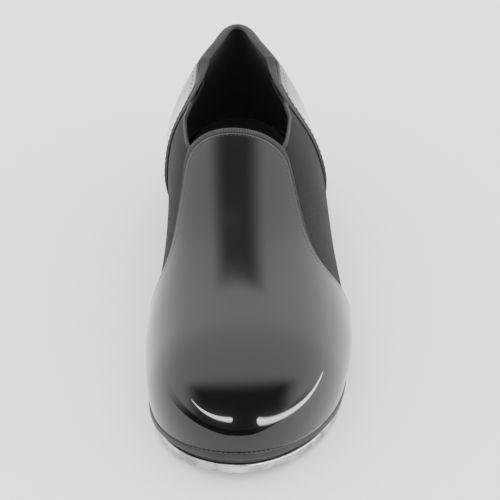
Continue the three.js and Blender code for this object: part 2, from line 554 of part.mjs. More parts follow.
// ================= gores =================
for (const [name, side] of [['gore_medial', -1], ['gore_lateral', 1]]) {
  const curve = (t) => { const e = vampEdge(side, clamp(t, 0, 1)); return { q: e.q, f: side * e.f }; };
  const seamEnd = vampEdge(side, 1).q;
  const level = (q) => fit + (2 - fit) * (1 - ease((q - seamEnd - 0.4) / 1.6) * ease((quarterFront[0] - 0.4 - q) / 1.6));
  const rowsV = 9;
  const grid = (out) => {
    const frontAt = (v) => {
      const t = lerp(1, throatCorner - 0.03, v);
      const e = across(curve, Math.min(t, 0.995), goreLap, out, side);
      return { q: e.q, f: Math.min(Math.abs(e.f), foot(e.q, side, out, 2)) };
    };
    const F = Array.from({ length: rowsV + 1 }, (_, j) => frontAt(j / rowsV));
    F[0].f = foot(F[0].q, side, out, 2);
    const rearQ = (v) => spline(quarterFront, v) + goreLap;
    const zF = shell(F[rowsV].q, side * F[rowsV].f, out).z;
    const hemAt = (q) => {
      const s = clamp((q - F[rowsV].q) / (hemLevel - F[rowsV].q), 0, 1);
      const z = lerp(zF, toplineFront - 1.5, 1 - (1 - s) ** 2) - 0.8 * ease((q - quarterFront[0] - 11) / 5);
      return q <= F[rowsV].q + 1e-6 ? F[rowsV].f : bisect((f) => shell(q, side * f, out).z - z, 0.02, Math.PI / 2);
    };
    const q0 = F[0].q, q1 = rearQ(0);
    const stops = [q0, (q0 + seamEnd) / 2, seamEnd + 0.4, seamEnd + 2];
    for (let i = 1; i < 8; i++) stops.push(lerp(seamEnd + 2, quarterFront[0] - 2, i / 8));
    stops.push(quarterFront[0] - 2, quarterFront[0] - 0.4, q1);
    return stops.map((qb) => {
      const u = (qb - q0) / (q1 - q0);
      const qt = lerp(F[rowsV].q, rearQ(1), u);
      const B = { q: qb, f: foot(qb, side, out, level(qb)) }, T = { q: qt, f: hemAt(qt) };
      return F.map((l, j) => {
        const v = j / rowsV;
        const r = { q: rearQ(v) };
        r.f = lerp(foot(r.q, side, out, 2), hemAt(r.q), v);
        const R0 = { q: q1, f: foot(q1, side, out, 2) }, R1 = { q: rearQ(1), f: hemAt(rearQ(1)) };
        const mix = (k) => (1 - u) * l[k] + u * r[k] + (1 - v) * B[k] + v * T[k]
          - ((1 - u) * (1 - v) * F[0][k] + u * (1 - v) * R0[k] + (1 - u) * v * F[rowsV][k] + u * v * R1[k]);
        return shell(mix('q'), side * mix('f'), out);
      });
    });
  };
  add(name, slab(grid(gussetOut), grid(gussetIn)), gusset);
}

// ================= bindings =================
// Section of a binding: [distance in from the edge, offset from the last]. Along a free edge it is
// a bead with a root sewn in between the lining and the outer; over a gore it is a flat strip.
const gap = fit + 0.05;
const bead = (show, low = tapeIn) => [[-gap, tapeOut], [-show + 0.7, tapeOut], [-show, tapeOut - 0.7], [-show, low + 0.7],
  [-show + 0.7, low], [-gap, low], [-gap, rootIn], [tapeRoot, rootIn], [tapeRoot, rootOut], [-gap, rootOut]];
const strip = (show) => [[-gap, tapeOut], [-show + 0.3, tapeOut], [-show, tapeOut - 0.2], [-show, shellIn + 0.4],
  [-show + 0.2, shellIn + 0.2], [-gap, shellIn + 0.2], [-gap, shellIn + 0.3], [-gap + 0.02, shellIn + 0.4],
  [-gap + 0.02, shellIn + 0.5], [-gap, shellIn + 0.6]];

// throat, running on down both seams
{
  const last = 0.97, step = 0.5 / vampCols, beadEnd = Math.floor((throatCorner - 0.1) / step) * step;
  const stops = [0];
  for (let t = step; t < last; t += step) {
    if (t < beadEnd + 1e-6 || Math.round(t / step) % 2 === 0) stops.push(t);
    if (Math.abs(t - beadEnd) < 1e-6) stops.push(t + 5e-4);
  }
  const all = [...stops.slice(1).reverse().map((t) => -t), ...stops];
  const curve = (s) => { const e = vampEdge(s < 0 ? -1 : 1, Math.abs(s)); return { q: e.q, f: s < 0 ? -e.f : e.f }; };
  const rings = all.map((t) => {
    const k = Math.abs(t);
    const show = lerp(throatTape, seamTape, ease((k - beadEnd) / 0.16));
    return (k < beadEnd + 1e-5 ? bead(show) : strip(show)).map(([d, out]) => {
      const e = across(curve, t, d, out, 1);
      return shell(e.q, e.f, out);
    });
  });
  add('throat_binding', sweep(rings), tape);
}

// collar, running on down the front of both quarters
{
  const side = [];
  for (let i = 0; i < quarterCols; i++) side.push({ v: i / quarterCols });
  side.push({ v: 0.9995 }, { v: 1 });
  const qTop = spline(quarterFront, 1);
  for (let i = 1; i <= quarterRows; i++) side.push({ u: lerp(qTop, backGap, spread(i)) });
  const steps = [...side, ...side.slice().reverse().map((s) => (s.v === undefined ? { u: 2 * heelEnd - s.u } : { v: s.v, far: true }))];
  const centre = (step, out) => {
    if (step.v !== undefined) {
      const q = spline(quarterFront, step.v), hand = step.far ? 1 : -1;
      const f = lerp(foot(q, hand, out, fit + Math.max(0, shellOut - out)), rim(q, hand, out), step.v);
      return { u: step.far ? 2 * heelEnd - q : q, f };
    }
    const { q, side: hand } = unroll(step.u);
    return { u: step.u, f: rim(q, hand, out) };
  };
  const rings = steps.map((step, i) => {
    const under = step.v !== undefined && step.v < 0.9999;
    const c = centre(step, 3), b = centre(steps[Math.max(0, i - 1)], 3), g = centre(steps[Math.min(steps.length - 1, i + 1)], 3);
    const past = step.v !== undefined ? 0 : heelEnd - Math.abs(step.u - heelEnd) - qTop;
    const show = under ? lerp(frontTape, cornerTape, ease((step.v - 0.5) / 0.5)) : lerp(cornerTape, collarTape, ease(past / 22));
    const p = (u, f) => rollShell(u, f, 3);
    const pu = p(c.u + 0.1, c.f).sub(p(c.u - 0.1, c.f)).multiplyScalar(5);
    const pf = p(c.u, c.f + 0.005).sub(p(c.u, c.f - 0.005)).multiplyScalar(100);
    const tan = pu.clone().multiplyScalar(g.u - b.u).addScaledVector(pf, g.f - b.f);
    const dir = pu.clone().cross(pf).cross(tan).normalize();
    const aa = pu.dot(pu), bb = pf.dot(pf), ab = pu.dot(pf), da = pu.dot(dir), db = pf.dot(dir), det = aa * bb - ab * ab;
    return (under ? strip(show) : bead(show, lerp(rootIn - 0.2, tapeIn, ease(past / 18)))).map(([d, out]) => {
      const o = centre(step, out);
      return rollShell(o.u + d * (da * bb - db * ab) / det, o.f + d * (db * aa - da * ab) / det, out);
    });
  });
  add('collar_binding', sweep(rings), tape);
}

// put the ground under the middle of the part
const box = new THREE.Box3().setFromObject(shoe);
const centre = box.getCenter(new THREE.Vector3());
for (const mesh of shoe.children) mesh.geometry.translate(-centre.x, -centre.y, -box.min.z);

export default shoe;
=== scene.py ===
import math

import bmesh
import bpy
import numpy as np
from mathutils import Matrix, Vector


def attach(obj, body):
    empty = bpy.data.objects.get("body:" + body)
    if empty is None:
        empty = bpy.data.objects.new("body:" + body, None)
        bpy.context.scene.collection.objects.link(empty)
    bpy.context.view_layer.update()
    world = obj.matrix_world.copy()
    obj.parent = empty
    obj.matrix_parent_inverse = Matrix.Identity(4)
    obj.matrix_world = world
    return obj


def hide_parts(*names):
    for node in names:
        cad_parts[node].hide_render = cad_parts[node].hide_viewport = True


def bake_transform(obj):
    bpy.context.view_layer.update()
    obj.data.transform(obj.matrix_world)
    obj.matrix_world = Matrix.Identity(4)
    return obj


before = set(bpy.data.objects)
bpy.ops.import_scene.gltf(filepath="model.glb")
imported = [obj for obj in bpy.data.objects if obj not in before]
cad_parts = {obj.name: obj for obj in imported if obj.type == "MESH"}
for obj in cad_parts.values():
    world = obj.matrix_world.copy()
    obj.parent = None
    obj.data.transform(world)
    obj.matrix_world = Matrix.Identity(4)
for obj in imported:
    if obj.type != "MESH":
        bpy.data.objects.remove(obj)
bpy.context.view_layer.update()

# ---------------------------------------------------------------- outsole
# A 4 mm resin-rubber sole with a satin, faintly ground edge. It is cut to the outline of a left
# foot, lifts a little at the toe, climbs the waist to the heel seat and carries a sewn line round
# its upper rim.
LENGTH = 250.0                      # millimetres, toe to heel
SHIFT = np.array([-2.825, -1.625, 0.0])   # from the sole's own axes to the row frame
TREAD = 12.1                        # top of the outsole over the toe tap
SOLE_MEDIAL = [34, 39, 41.5, 40.5, 35, 31, 28.5, 28.5, 30, 31, 30]
SOLE_LATERAL = [31, 39, 45, 47.5, 45.5, 41.5, 38, 35, 32.5, 31, 30]
AXIS_SHIFT = [-2.5, -1.5, 0, 0, 0, 0, 0, 0, 0, 0, 0]
TOE_ROUND, TOE_POWER = 45.0, 2.4
HEEL_ROUND, HEEL_POWER, HEEL_SPAN = 213.0, 2.2, 45.0


def ease(t):
    """Smooth step of the fifth degree: 0 at 0, 1 at 1, flat at both ends."""
    t = np.clip(t, 0, 1)
    return t ** 3 * (10 - 15 * t + 6 * t * t)


def spline(values, s):
    """Uniform cubic B-spline over evenly spaced control values, s from 0 to 1."""
    c = np.concatenate([[2 * values[0] - values[1]], values, [2 * values[-1] - values[-2]]])
    u = np.clip(s, 0, 1) * (len(values) - 1)
    i = np.minimum(np.floor(u).astype(int), len(values) - 2)
    f = u - i
    return (c[i] * (1 - f) ** 3 + c[i + 1] * (3 * f ** 3 - 6 * f * f + 4)
            + c[i + 2] * (-3 * f ** 3 + 3 * f * f + 3 * f + 1) + c[i + 3] * f ** 3) / 6


def along(values, a):
    """Value of a table at the station a, millimetres back from the toe."""
    return spline(np.asarray(values, float), np.asarray(a, float) / LENGTH)


def seat(a):
    """Height of the outsole's top at a station: toe spring, level tread, climb to the heel."""
    return TREAD + 5.6 * np.clip(1 - a / 46, 0, None) ** 2.5 + 16 * ease((a - 82) / 108)


def toe_close(q):
    """What the rounding of the toe takes off, 1 at the tip and 0 from TOE_ROUND on."""
    return np.clip(1 - q / TOE_ROUND, 0, 1) ** TOE_POWER


def half_width(a, side, inset):
    """Half width of the sole outline drawn in by inset, side -1 medial, 1 lateral."""
    s = np.clip((a - inset) / (LENGTH - 2 * inset), 0, 1) * LENGTH
    toe = np.sqrt(np.clip(1 - toe_close(s), 0, 1))
    past = np.clip((s - HEEL_ROUND) / (LENGTH - HEEL_ROUND), 0, 1)
    heel = np.sqrt(np.clip(1 - past ** HEEL_POWER, 0, 1))
    w = np.where(side < 0, along(SOLE_MEDIAL, s), along(SOLE_LATERAL, s)) - inset
    return side * w * toe * heel + along(AXIS_SHIFT, s)


def mesh_of(name, points, faces, uv=None, material=None, weld=2e-6):
    """Object from points in millimetres on the sole's axes and a list of face arrays. Doubles
    are welded, flat and stray faces dropped, and the faces turned outwards."""
    data = bpy.data.meshes.new(name)
    co = (np.asarray(points, float).reshape(-1, 3) + SHIFT) / 1000
    data.from_pydata(co.tolist(), [], [f for block in faces for f in np.asarray(block).tolist()])
    if uv is not None:
        layer = data.uv_layers.new(name="UVMap")
        index = np.zeros(len(data.loops), np.int32)
        data.loops.foreach_get("vertex_index", index)
        layer.data.foreach_set("uv", np.asarray(uv, float).reshape(-1, 2)[index].ravel())
    bm = bmesh.new()
    bm.from_mesh(data)
    bmesh.ops.remove_doubles(bm, verts=bm.verts, dist=weld)
    bmesh.ops.dissolve_degenerate(bm, edges=bm.edges, dist=1e-7)
    bmesh.ops.delete(bm, geom=[v for v in bm.verts if not v.link_faces], context="VERTS")
    bmesh.ops.recalc_face_normals(bm, faces=bm.faces)
    bm.to_mesh(data)
    bm.free()
    data.polygons.foreach_set("use_smooth", [True] * len(data.polygons))
    obj = bpy.data.objects.new(name, data)
    bpy.context.scene.collection.objects.link(obj)
    if material is not None:
        data.materials.append(material)
    return obj


def grid_faces(rows, cols, start=0, wrap=False):
    """Quads of a grid of points numbered row by row; wrap joins the last column to the first."""
    i, j = np.meshgrid(np.arange(rows - 1), np.arange(cols if wrap else cols - 1), indexing="ij")
    k = (j + 1) % cols
    quads = np.stack([i * cols + j, i * cols + k, (i + 1) * cols + k, (i + 1) * cols + j], -1)
    return (start + quads).reshape(-1, 4)


def hexcolor(code):
    """sRGB hex to linear colour."""
    c = np.array([int(code[i:i + 2], 16) for i in (1, 3, 5)]) / 255
    return (*np.where(c <= 0.04045, c / 12.92, ((c + 0.055) / 1.055) ** 2.4).tolist(), 1.0)


def node(tree, kind, links=(), settings=None, **inputs):
    """Adds a shader node. settings are its properties, inputs its socket values by name with _ for
    spaces, and links pairs of a socket to read and the input it feeds."""
    n = tree.nodes.new(kind)
    for key, value in (settings or {}).items():
        setattr(n, key, value)
    for key, value in inputs.items():
        n.inputs[key.replace("_", " ")].default_value = value
    for source, target in links:
        tree.links.new(source, n.inputs[target])
    return n


def texture(tree, kind="Noise", output="Fac", space="Object", settings=None, **values):
    """Factor of a procedural texture in object coordinates, or in the piece's own UV."""
    coords = node(tree, "ShaderNodeTexCoord").outputs[space]
    made = node(tree, "ShaderNodeTex" + kind, links=[(coords, "Vector")], settings=settings, **values)
    return made.outputs[output]


def finish_of(name, base, **sockets):
    """New material with a Principled shader set to the given socket values."""
    m = bpy.data.materials.new(name)
    m.use_nodes = True
    shader = m.node_tree.nodes["Principled BSDF"]
    shader.inputs["Base Color"].default_value = hexcolor(base)
    for key, value in sockets.items():
        shader.inputs[key.replace("_", " ")].default_value = value
    return m, m.node_tree, shader


def ramp(tree, source, stops):
    """Colour ramp of (position, hex) stops reading a factor."""
    r = node(tree, "ShaderNodeValToRGB", links=[(source, "Fac")])
    while len(r.color_ramp.elements) < len(stops):
        r.color_ramp.elements.new(0.5)
    for e, (at, code) in zip(r.color_ramp.elements, stops):
        e.position, e.color = at, hexcolor(code)
    return r


def tinted(tree, shader, source, *stops):
    """Base colour from a ramp of (position, hex) stops over a factor."""
    tree.links.new(ramp(tree, source, stops).outputs["Color"], shader.inputs["Base Color"])


def roughly(tree, shader, source, low, high):
    """Roughness between low and high, read from a factor."""
    r = node(tree, "ShaderNodeMapRange", links=[(source, "Value")], To_Min=low, To_Max=high)
    tree.links.new(r.outputs["Result"], shader.inputs["Roughness"])


def bumped(tree, shader, source, distance, strength=1.0):
    """Bump of that height in metres, read from a factor."""
    b = node(tree, "ShaderNodeBump", links=[(source, "Height")], Distance=distance, Strength=strength)
    tree.links.new(b.outputs["Normal"], shader.inputs["Normal"])
    return b


# Resin rubber, moulded and its edge ground: a dark satin grey with fine grinding specks.
sole_rubber, tree, shader = finish_of("resin_rubber", "#1c1c1d", Roughness=0.42, Specular_IOR_Level=0.3)
grit = texture(tree, Scale=900.0, Detail=3.0)
tinted(tree, shader, texture(tree, Scale=60.0, Detail=2.0), (0.3, "#171718"), (0.7, "#232325"))
roughly(tree, shader, grit, 0.34, 0.52)
bumped(tree, shader, grit, 0.00006, 0.6)


def plate(name, first, last, profile, bottom, top, material, count=150):
    """Plate on the sole outline between two stations. profile lists (inset, share of thickness)
    up the wall. Each station gives one closed loop: along the bottom, up one wall, back along the
    top and down the other."""
    lead, tail = first == 0, last == LENGTH
    t = np.linspace(0, 1, count)
    if lead and tail:
        s = (1 - np.cos(np.pi * t)) / 2
    elif lead:
        s = 1 - np.cos(np.pi / 2 * t)
    else:
        s = np.sin(np.pi / 2 * t)
    blocks = []

    def row(inset, side):
        a0 = inset if lead else first
        a1 = LENGTH - inset if tail else last
        a = a0 + s * (a1 - a0)
        return half_width(a, side, inset), a

    def put(x, a, share):
        z = bottom(a) + (top(a) - bottom(a)) * share
        blocks.append(np.stack([x, a - LENGTH / 2, z], -1))

    def span(start, end, share):
        (x0, a), (x1, _) = start, end
        for f in np.linspace(0, 1, 18)[1:-1]:
            put(x0 + (x1 - x0) * f, a, share)

    insets, shares = np.array(profile, float).T
    medial, lateral = [[row(i, side) for i in insets] for side in (-1, 1)]
    span(medial[0], lateral[0], shares[0])
    for wall, share in zip(lateral, shares):
        put(*wall, share)
    span(lateral[-1], medial[-1], shares[-1])
    for wall, share in zip(medial[::-1], shares[::-1]):
        put(*wall, share)
    loops = np.stack(blocks, 1)
    m = loops.shape[1]
    ring = np.arange(m)
    nxt = (ring + 1) % m
    faces = [grid_faces(count, m, wrap=True)]
    points = loops.reshape(-1, 3)
    eased, drawn_in = 0.35, [1 - 0.9 / 40, 1, 0.86]    # a cut end: length and scale of its soft edge
    for end, at, way in ((not lead, 0, -1), (not tail, count - 1, 1)):
        if end:
            centre = loops[at].mean(0)
            base = len(points)
            points = np.vstack([points, centre + (loops[at] - centre) * drawn_in + [0, way * eased, 0]])
            faces.append(np.stack([at * m + ring, at * m + nxt, base + nxt, base + ring], -1))
            faces.append([(base + ring).tolist()])
    return mesh_of(name, points, faces, material=material)


def rounded(inset, radius, height, steps=5):
    """Wall profile of a plate with rounded lower and upper edges."""
    k = np.linspace(0, np.pi / 2, steps)
    low = [(inset + radius * (1 - math.sin(x)), radius * (1 - math.cos(x)) / height) for x in k]
    high = [(inset + radius * (1 - math.cos(x)), 1 - radius * (1 - math.sin(x)) / height) for x in k]
    return low + high


def above_seat(rise):
    """Surface that follows the outsole's top at a distance."""
    return lambda a: seat(a) + rise


def level_at(height):
    """Level surface."""
    return lambda a: height + 0 * a


def across_flex(obj, slot, *nodes):
    """Piece across the ball of the foot, where the shoe bends: its placing is baked into its mesh and it
    stands for these CAD nodes.
    """
    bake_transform(obj)
    if nodes:
        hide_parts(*nodes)


def on_body(obj, body, slot, *nodes):
    """Piece that rides on one body and stands for these CAD nodes."""
    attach(obj, body)
    if nodes:
        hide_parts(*nodes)


outsole = plate("outsole_shaped", 0, LENGTH, rounded(0.0, 0.9, 4.0),
                above_seat(-4), seat, sole_rubber, count=260)
across_flex(outsole, "sole", "outsole")


def stitches(name, path, normal, pitch, length, radius, material, lift=0.0, slant=0.0):
    """Row of sewn stitches: one small spindle per pitch along a path of points, its long axis
    along the path, sunk to half its thickness. slant turns each in the surface, in radians."""
    path = np.asarray(path, float)
    normal = np.asarray(normal, float)
    step = np.linalg.norm(np.diff(path, axis=0), axis=1)
    run = np.concatenate([[0], np.cumsum(step)])
    at = np.arange(pitch / 2, run[-1], pitch)
    p = np.stack([np.interp(at, run, path[:, k]) for k in range(3)], -1)
    n = np.stack([np.interp(at, run, normal[:, k]) for k in range(3)], -1)
    n /= np.linalg.norm(n, axis=1)[:, None]
    ahead = np.stack([np.interp(at + 0.2, run, path[:, k]) for k in range(3)], -1)
    behind = np.stack([np.interp(at - 0.2, run, path[:, k]) for k in range(3)], -1)
    t = ahead - behind
    t -= (t * n).sum(1)[:, None] * n
    t /= np.linalg.norm(t, axis=1)[:, None]
    b = np.cross(n, t)
    turn = slant * np.where(np.arange(len(at)) % 2, 1, -1)[:, None]
    t, b = t * np.cos(turn) + b * np.sin(turn), b * np.cos(turn) - t * np.sin(turn)
    u = np.array([-1, -0.75, 0, 0.75, 1]) * length / 2
    r = np.array([0.15, 0.8, 1.0, 0.8, 0.15]) * radius
    ang = np.arange(6) / 6 * 2 * np.pi
    sag = (1 - np.cos(u / length * np.pi))[:, None] * radius * 0.6
    local = (p[:, None, None, :] + u[None, :, None, None] * t[:, None, None, :]
             + (r[:, None] * np.cos(ang))[None, :, :, None] * b[:, None, None, :]
             + (r[:, None] * np.sin(ang) + lift - sag)[None, :, :, None] * n[:, None, None, :])
    one = grid_faces(5, 6, wrap=True)
    caps = np.array([[0, 1, 2, 3, 4, 5], [24, 25, 26, 27, 28, 29]])
    base = (np.arange(len(at)) * 30)[:, None, None]
    faces = [(base + one[None]).reshape(-1, 4), (base + caps[None]).reshape(-1, 6)]
    return mesh_of(name, local.reshape(-1, 3), faces, material=material, weld=1e-8)


# Bonded polyester thread, black, with a faint sheen.
thread, tree, shader = finish_of("bonded_thread", "#111112", Roughness=0.5, Sheen_Weight=0.1)
tinted(tree, shader, texture(tree, Scale=1500.0), (0.3, "#0b0b0c"), (0.7, "#1b1b1d"))


def outline(inset, first, last, count):
    """Points on the sole outline at an inset, from the medial side round the toe to the lateral."""
    t = np.linspace(0, 1, count)
    a = inset + (last - inset) * t ** 2
    left, right = [np.stack([half_width(a, side, inset), a - LENGTH / 2, seat(a)], -1) for side in (-1, 1)]
    return np.vstack([left[::-1], right[1:]])


# Waxed linen of the sole seam, dark grey.
waxed, tree, shader = finish_of("waxed_linen", "#39393b", Roughness=0.5)
rim_path = outline(0.5, 0, 196, 400) - [0, 0, 0.1]
rim_out = np.gradient(rim_path, axis=0) @ np.array([[0, -1, 0], [1, 0, 0], [0, 0, 0]], float)
rim_out = 0.5 * rim_out / np.linalg.norm(rim_out, axis=1)[:, None] * -1 + [0, 0, 0.87]
sole_seam = stitches("sole_stitching", rim_path, rim_out, 2.1, 1.5, 0.22, waxed, lift=0.06)
across_flex(sole_seam, "sole")

# ---------------------------------------------------------------- heel block and top lift
# A moulded black heel, slightly waisted, nailed up through the insole, with a rubber top lift
# cemented under it.
heel_plastic, tree, shader = finish_of("moulded_heel", "#242426", Roughness=0.36)
layers = texture(tree, Scale=120.0, Detail=4.0)
roughly(tree, shader, layers, 0.3, 0.46)
bumped(tree, shader, layers, 0.00008, 0.5)
heel_wall = [(2.6, 0.0), (2.1, 0.03), (2.0, 0.08), (1.5, 0.3), (1.1, 0.55), (0.9, 0.8), (0.9, 0.95),
             (1.0, 1.0)]
heel = plate("heel_block_shaped", 190, LENGTH, heel_wall, level_at(10.1), above_seat(-4.2),
             heel_plastic, count=90)
on_body(heel, "rear", "heel", "heel_block")

lift_rubber, tree, shader = finish_of("top_lift_rubber", "#19191a", Roughness=0.7)
crumb = texture(tree, Scale=700.0, Detail=2.0)
bumped(tree, shader, crumb, 0.0001, 0.7)
roughly(tree, shader, crumb, 0.6, 0.85)
lift = plate("heel_top_lift_shaped", 192, LENGTH, rounded(2.6, 0.5, 4.7), level_at(5.2),
             level_at(9.9), lift_rubber, count=80)
on_body(lift, "rear", "tap_board", "heel_top_lift")

# ---------------------------------------------------------------- taps and their boards
# Cast aluminium plates with tumbled faces and rounded rims, screwed on through a thin black
# board. The casting skin leaves a mottled, cloudy sheen with fine scratches.
tap_metal, tree, shader = finish_of("cast_aluminium", "#cfd1d3", Metallic=1.0, Roughness=0.3)
mottle = texture(tree, Scale=110.0, Detail=6.0, Roughness=0.62)
tinted(tree, shader, mottle, (0.3, "#77797c"), (0.5, "#b4b6b9"), (0.72, "#e4e6e8"))
roughly(tree, shader, mottle, 0.42, 0.22)
coords = node(tree, "ShaderNodeTexCoord").outputs["Object"]
stretch = node(tree, "ShaderNodeMapping", links=[(coords, "Vector")], Scale=(900, 120, 900))
scratch = node(tree, "ShaderNodeTexNoise", links=[(stretch.outputs["Vector"], "Vector")], Scale=1.0,
               Detail=4.0)
bumped(tree, shader, scratch.outputs["Fac"], 0.00003, 0.5)

TOE_SCREWS = [(-22, 22), (17, 22), (-30, 57), (34, 57)]
HEEL_SCREWS = [(-17, 212), (17, 212), (0, 235)]


def countersunk(tap, spots, depth_of):
    """Cuts the countersinks: a wide mouth at the face and a narrow hole above it."""
    for x, a in spots:
        z = depth_of(a)
        prof = np.array([[0, -2], [4.1, -2], [4.0, 0.0], [3.7, 0.35], [1.65, 2.6], [1.65, 7], [0, 7]])
        ang = np.arange(40) / 40 * 2 * np.pi
        r, rise = prof[:, :1], prof[:, 1:]
        ring = np.stack([x + r * np.cos(ang), a - LENGTH / 2 + r * np.sin(ang), z + rise + 0 * ang], -1)
        cutter = mesh_of("cutter", ring.reshape(-1, 3), [grid_faces(7, 40, wrap=True)])
        cut = tap.modifiers.new("countersink", "BOOLEAN")
        cut.object, cut.operation, cut.solver = cutter, "DIFFERENCE", "EXACT"
        bpy.context.view_layer.objects.active = tap
        bpy.ops.object.modifier_apply(modifier=cut.name)
        bpy.data.objects.remove(cutter)
    tap.data.polygons.foreach_set("use_smooth", [True] * len(tap.data.polygons))
    bpy.context.view_layer.objects.active = tap
    edges = tap.modifiers.new("crease", "EDGE_SPLIT")
    edges.split_angle = math.radians(40)
    bpy.ops.object.modifier_apply(modifier=edges.name)


tap_under = above_seat(-12.1)
toe_tap = plate("toe_tap_cast", 0, 67.6, rounded(1.5, 1.1, 5.0, steps=7), tap_under,
                lambda a: tap_under(a) + 5, tap_metal, count=120)
countersunk(toe_tap, TOE_SCREWS, tap_under)
on_body(toe_tap, "forefoot", "tap_metal", "toe_tap")
heel_tap = plate("heel_tap_cast", 197.4, LENGTH, rounded(4.0, 1.1, 5.0, steps=7), level_at(0),
                 level_at(5), tap_metal, count=80)
countersunk(heel_tap, HEEL_SCREWS, lambda a: 0.0)
on_body(heel_tap, "rear", "tap_metal", "heel_tap")
board = plate("toe_tap_board_shaped", 0, 70.6, rounded(2.5, 0.4, 2.5), above_seat(-6.9),
              above_seat(-4.2), lift_rubber, count=100)
on_body(board, "forefoot", "tap_board", "toe_tap_board")

# ---------------------------------------------------------------- tap screws
# Bright zinc-plated countersunk screws with a cross recess. Four hold the toe tap through its
# board and three the heel tap through the top lift.
screw_steel, tree, shader = finish_of("zinc_plated_steel", "#b9bcc0", Metallic=1.0, Roughness=0.24)
roughly(tree, shader, texture(tree, Scale=400.0, Detail=3.0), 0.18, 0.34)


def screw(name, x, a, z, length):
    """Countersunk screw: a turned profile whose head face is sunk in the shape of a cross."""
    ang = np.arange(64) / 64 * 2 * np.pi
    head = np.linspace(0.02, 2.7, 16)
    r, h = np.meshgrid(head, ang, indexing="ij")
    px, py = r * np.cos(h), r * np.sin(h)
    arm, wide = 1.65, 0.36                      # half length and half width of the recess
    cross = np.maximum(np.clip((wide - np.abs(px)) / 0.12, 0, 1) * (np.abs(py) < arm),
                       np.clip((wide - np.abs(py)) / 0.12, 0, 1) * (np.abs(px) < arm))
    sunk = 0.45 + 0.12 * np.clip(r - 2.4, 0, None) + 1.1 * cross * np.clip(1.3 - r / 1.9, 0.3, 1)
    top = np.stack([px, py, sunk], -1)
    pitch = 1.0
    turns = np.arange(2.6, length - 1.2, pitch / 4)
    shank = 1.24 + 0.1 * np.sin(turns * 2 * np.pi / pitch)
    rest_r = np.concatenate([[2.75, 2.7, 1.3], shank, [0.5, 0.02]])
    rest_z = np.concatenate([[0.55, 0.7, 2.4], turns, [length - 0.3, length]])
    r = rest_r[:, None]
    body = np.stack([r * np.cos(ang), r * np.sin(ang), rest_z[:, None] + 0 * ang], -1)
    pts = np.vstack([top, body])
    rows = len(pts)
    pts = pts.reshape(-1, 3) + [x, a - LENGTH / 2, z]
    caps = [np.arange(64).tolist()], [(np.arange(64) + (rows - 1) * 64).tolist()]
    return mesh_of(name, pts, [grid_faces(rows, 64, wrap=True), *caps], material=screw_steel)


for end, body, spots, under, long in (("toe", "forefoot", TOE_SCREWS, tap_under, 10.1),
                                      ("heel", "rear", HEEL_SCREWS, level_at(0.0), 12.9)):
    for i, (x, a) in enumerate(spots, 1):
        called = f"{end}_tap_screw_{i}"
        on_body(screw(called + "_turned", x, a, float(under(a)), long), body, "steel", called)

# ---------------------------------------------------------------- pieces closed inside the bottom
# The insole board of pressed fibre, the cork filler under it, the sprung steel shank and the
# heel nails. Only the sock liner, black cloth on thin foam, shows inside the shoe.
fibre, tree, shader = finish_of("pressed_fibre_board", "#8a7658", Roughness=0.85)
strands = texture(tree, Scale=500.0, Detail=5.0)
tinted(tree, shader, strands, (0.35, "#75634a"), (0.65, "#a08c6a"))
bumped(tree, shader, strands, 0.0001, 0.5)
insole = plate("insole_board_shaped", 0, LENGTH, rounded(5.2, 0.3, 2.0, steps=3), above_seat(2),
               above_seat(4), fibre, count=160)
across_flex(insole, "board", "insole_board")

cork, tree, shader = finish_of("cork_sheet", "#9c7549", Roughness=0.9)
grains = texture(tree, "Voronoi", "Distance", Scale=600.0)
tinted(tree, shader, grains, (0.1, "#6f4d2c"), (0.5, "#b08a5a"))
bumped(tree, shader, grains, 0.0001, 0.6)
filler = plate("cork_filler_shaped", 0, 103.6, [(16.2, 0.0), (16.0, 0.5), (16.2, 1.0)],
               above_seat(0.3), above_seat(1.7), cork, count=90)
across_flex(filler, "filler", "bottom_filler")

sock_cloth, tree, shader = finish_of("sock_cloth", "#0c0c0d", Roughness=0.9, Sheen_Weight=0.1,
                                     Sheen_Roughness=0.5)
weave = texture(tree, Scale=1400.0, Detail=2.0)
bumped(tree, shader, weave, 0.0001, 0.6)
tinted(tree, shader, weave, (0.35, "#09090a"), (0.7, "#141415"))
sock = plate("sock_liner_shaped", 0, LENGTH, rounded(5.7, 0.4, 1.0, steps=4), above_seat(4.3),
             above_seat(5.3), sock_cloth, count=160)
across_flex(sock, "sock", "sock_liner")


def dress(name, material):
    """Gives a CAD node that stays its own material."""
    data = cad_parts[name].data
    data.materials.clear()
    data.materials.append(material)


# Sheet thermoplastic for the toe puff and heel counter: warm ivory, faintly speckled.
puff_sheet, tree, shader = finish_of("thermoplastic_sheet", "#bdb091", Roughness=0.6)
tinted(tree, shader, texture(tree, Scale=300.0, Detail=4.0), (0.35, "#a99b7b"), (0.65, "#cbbf9f"))
for hidden in ("shank", "heel_nail_1", "heel_nail_2", "heel_nail_3", "heel_nail_4"):
    dress(hidden, screw_steel)
for hidden in ("toe_puff", "heel_counter"):
    dress(hidden, puff_sheet)

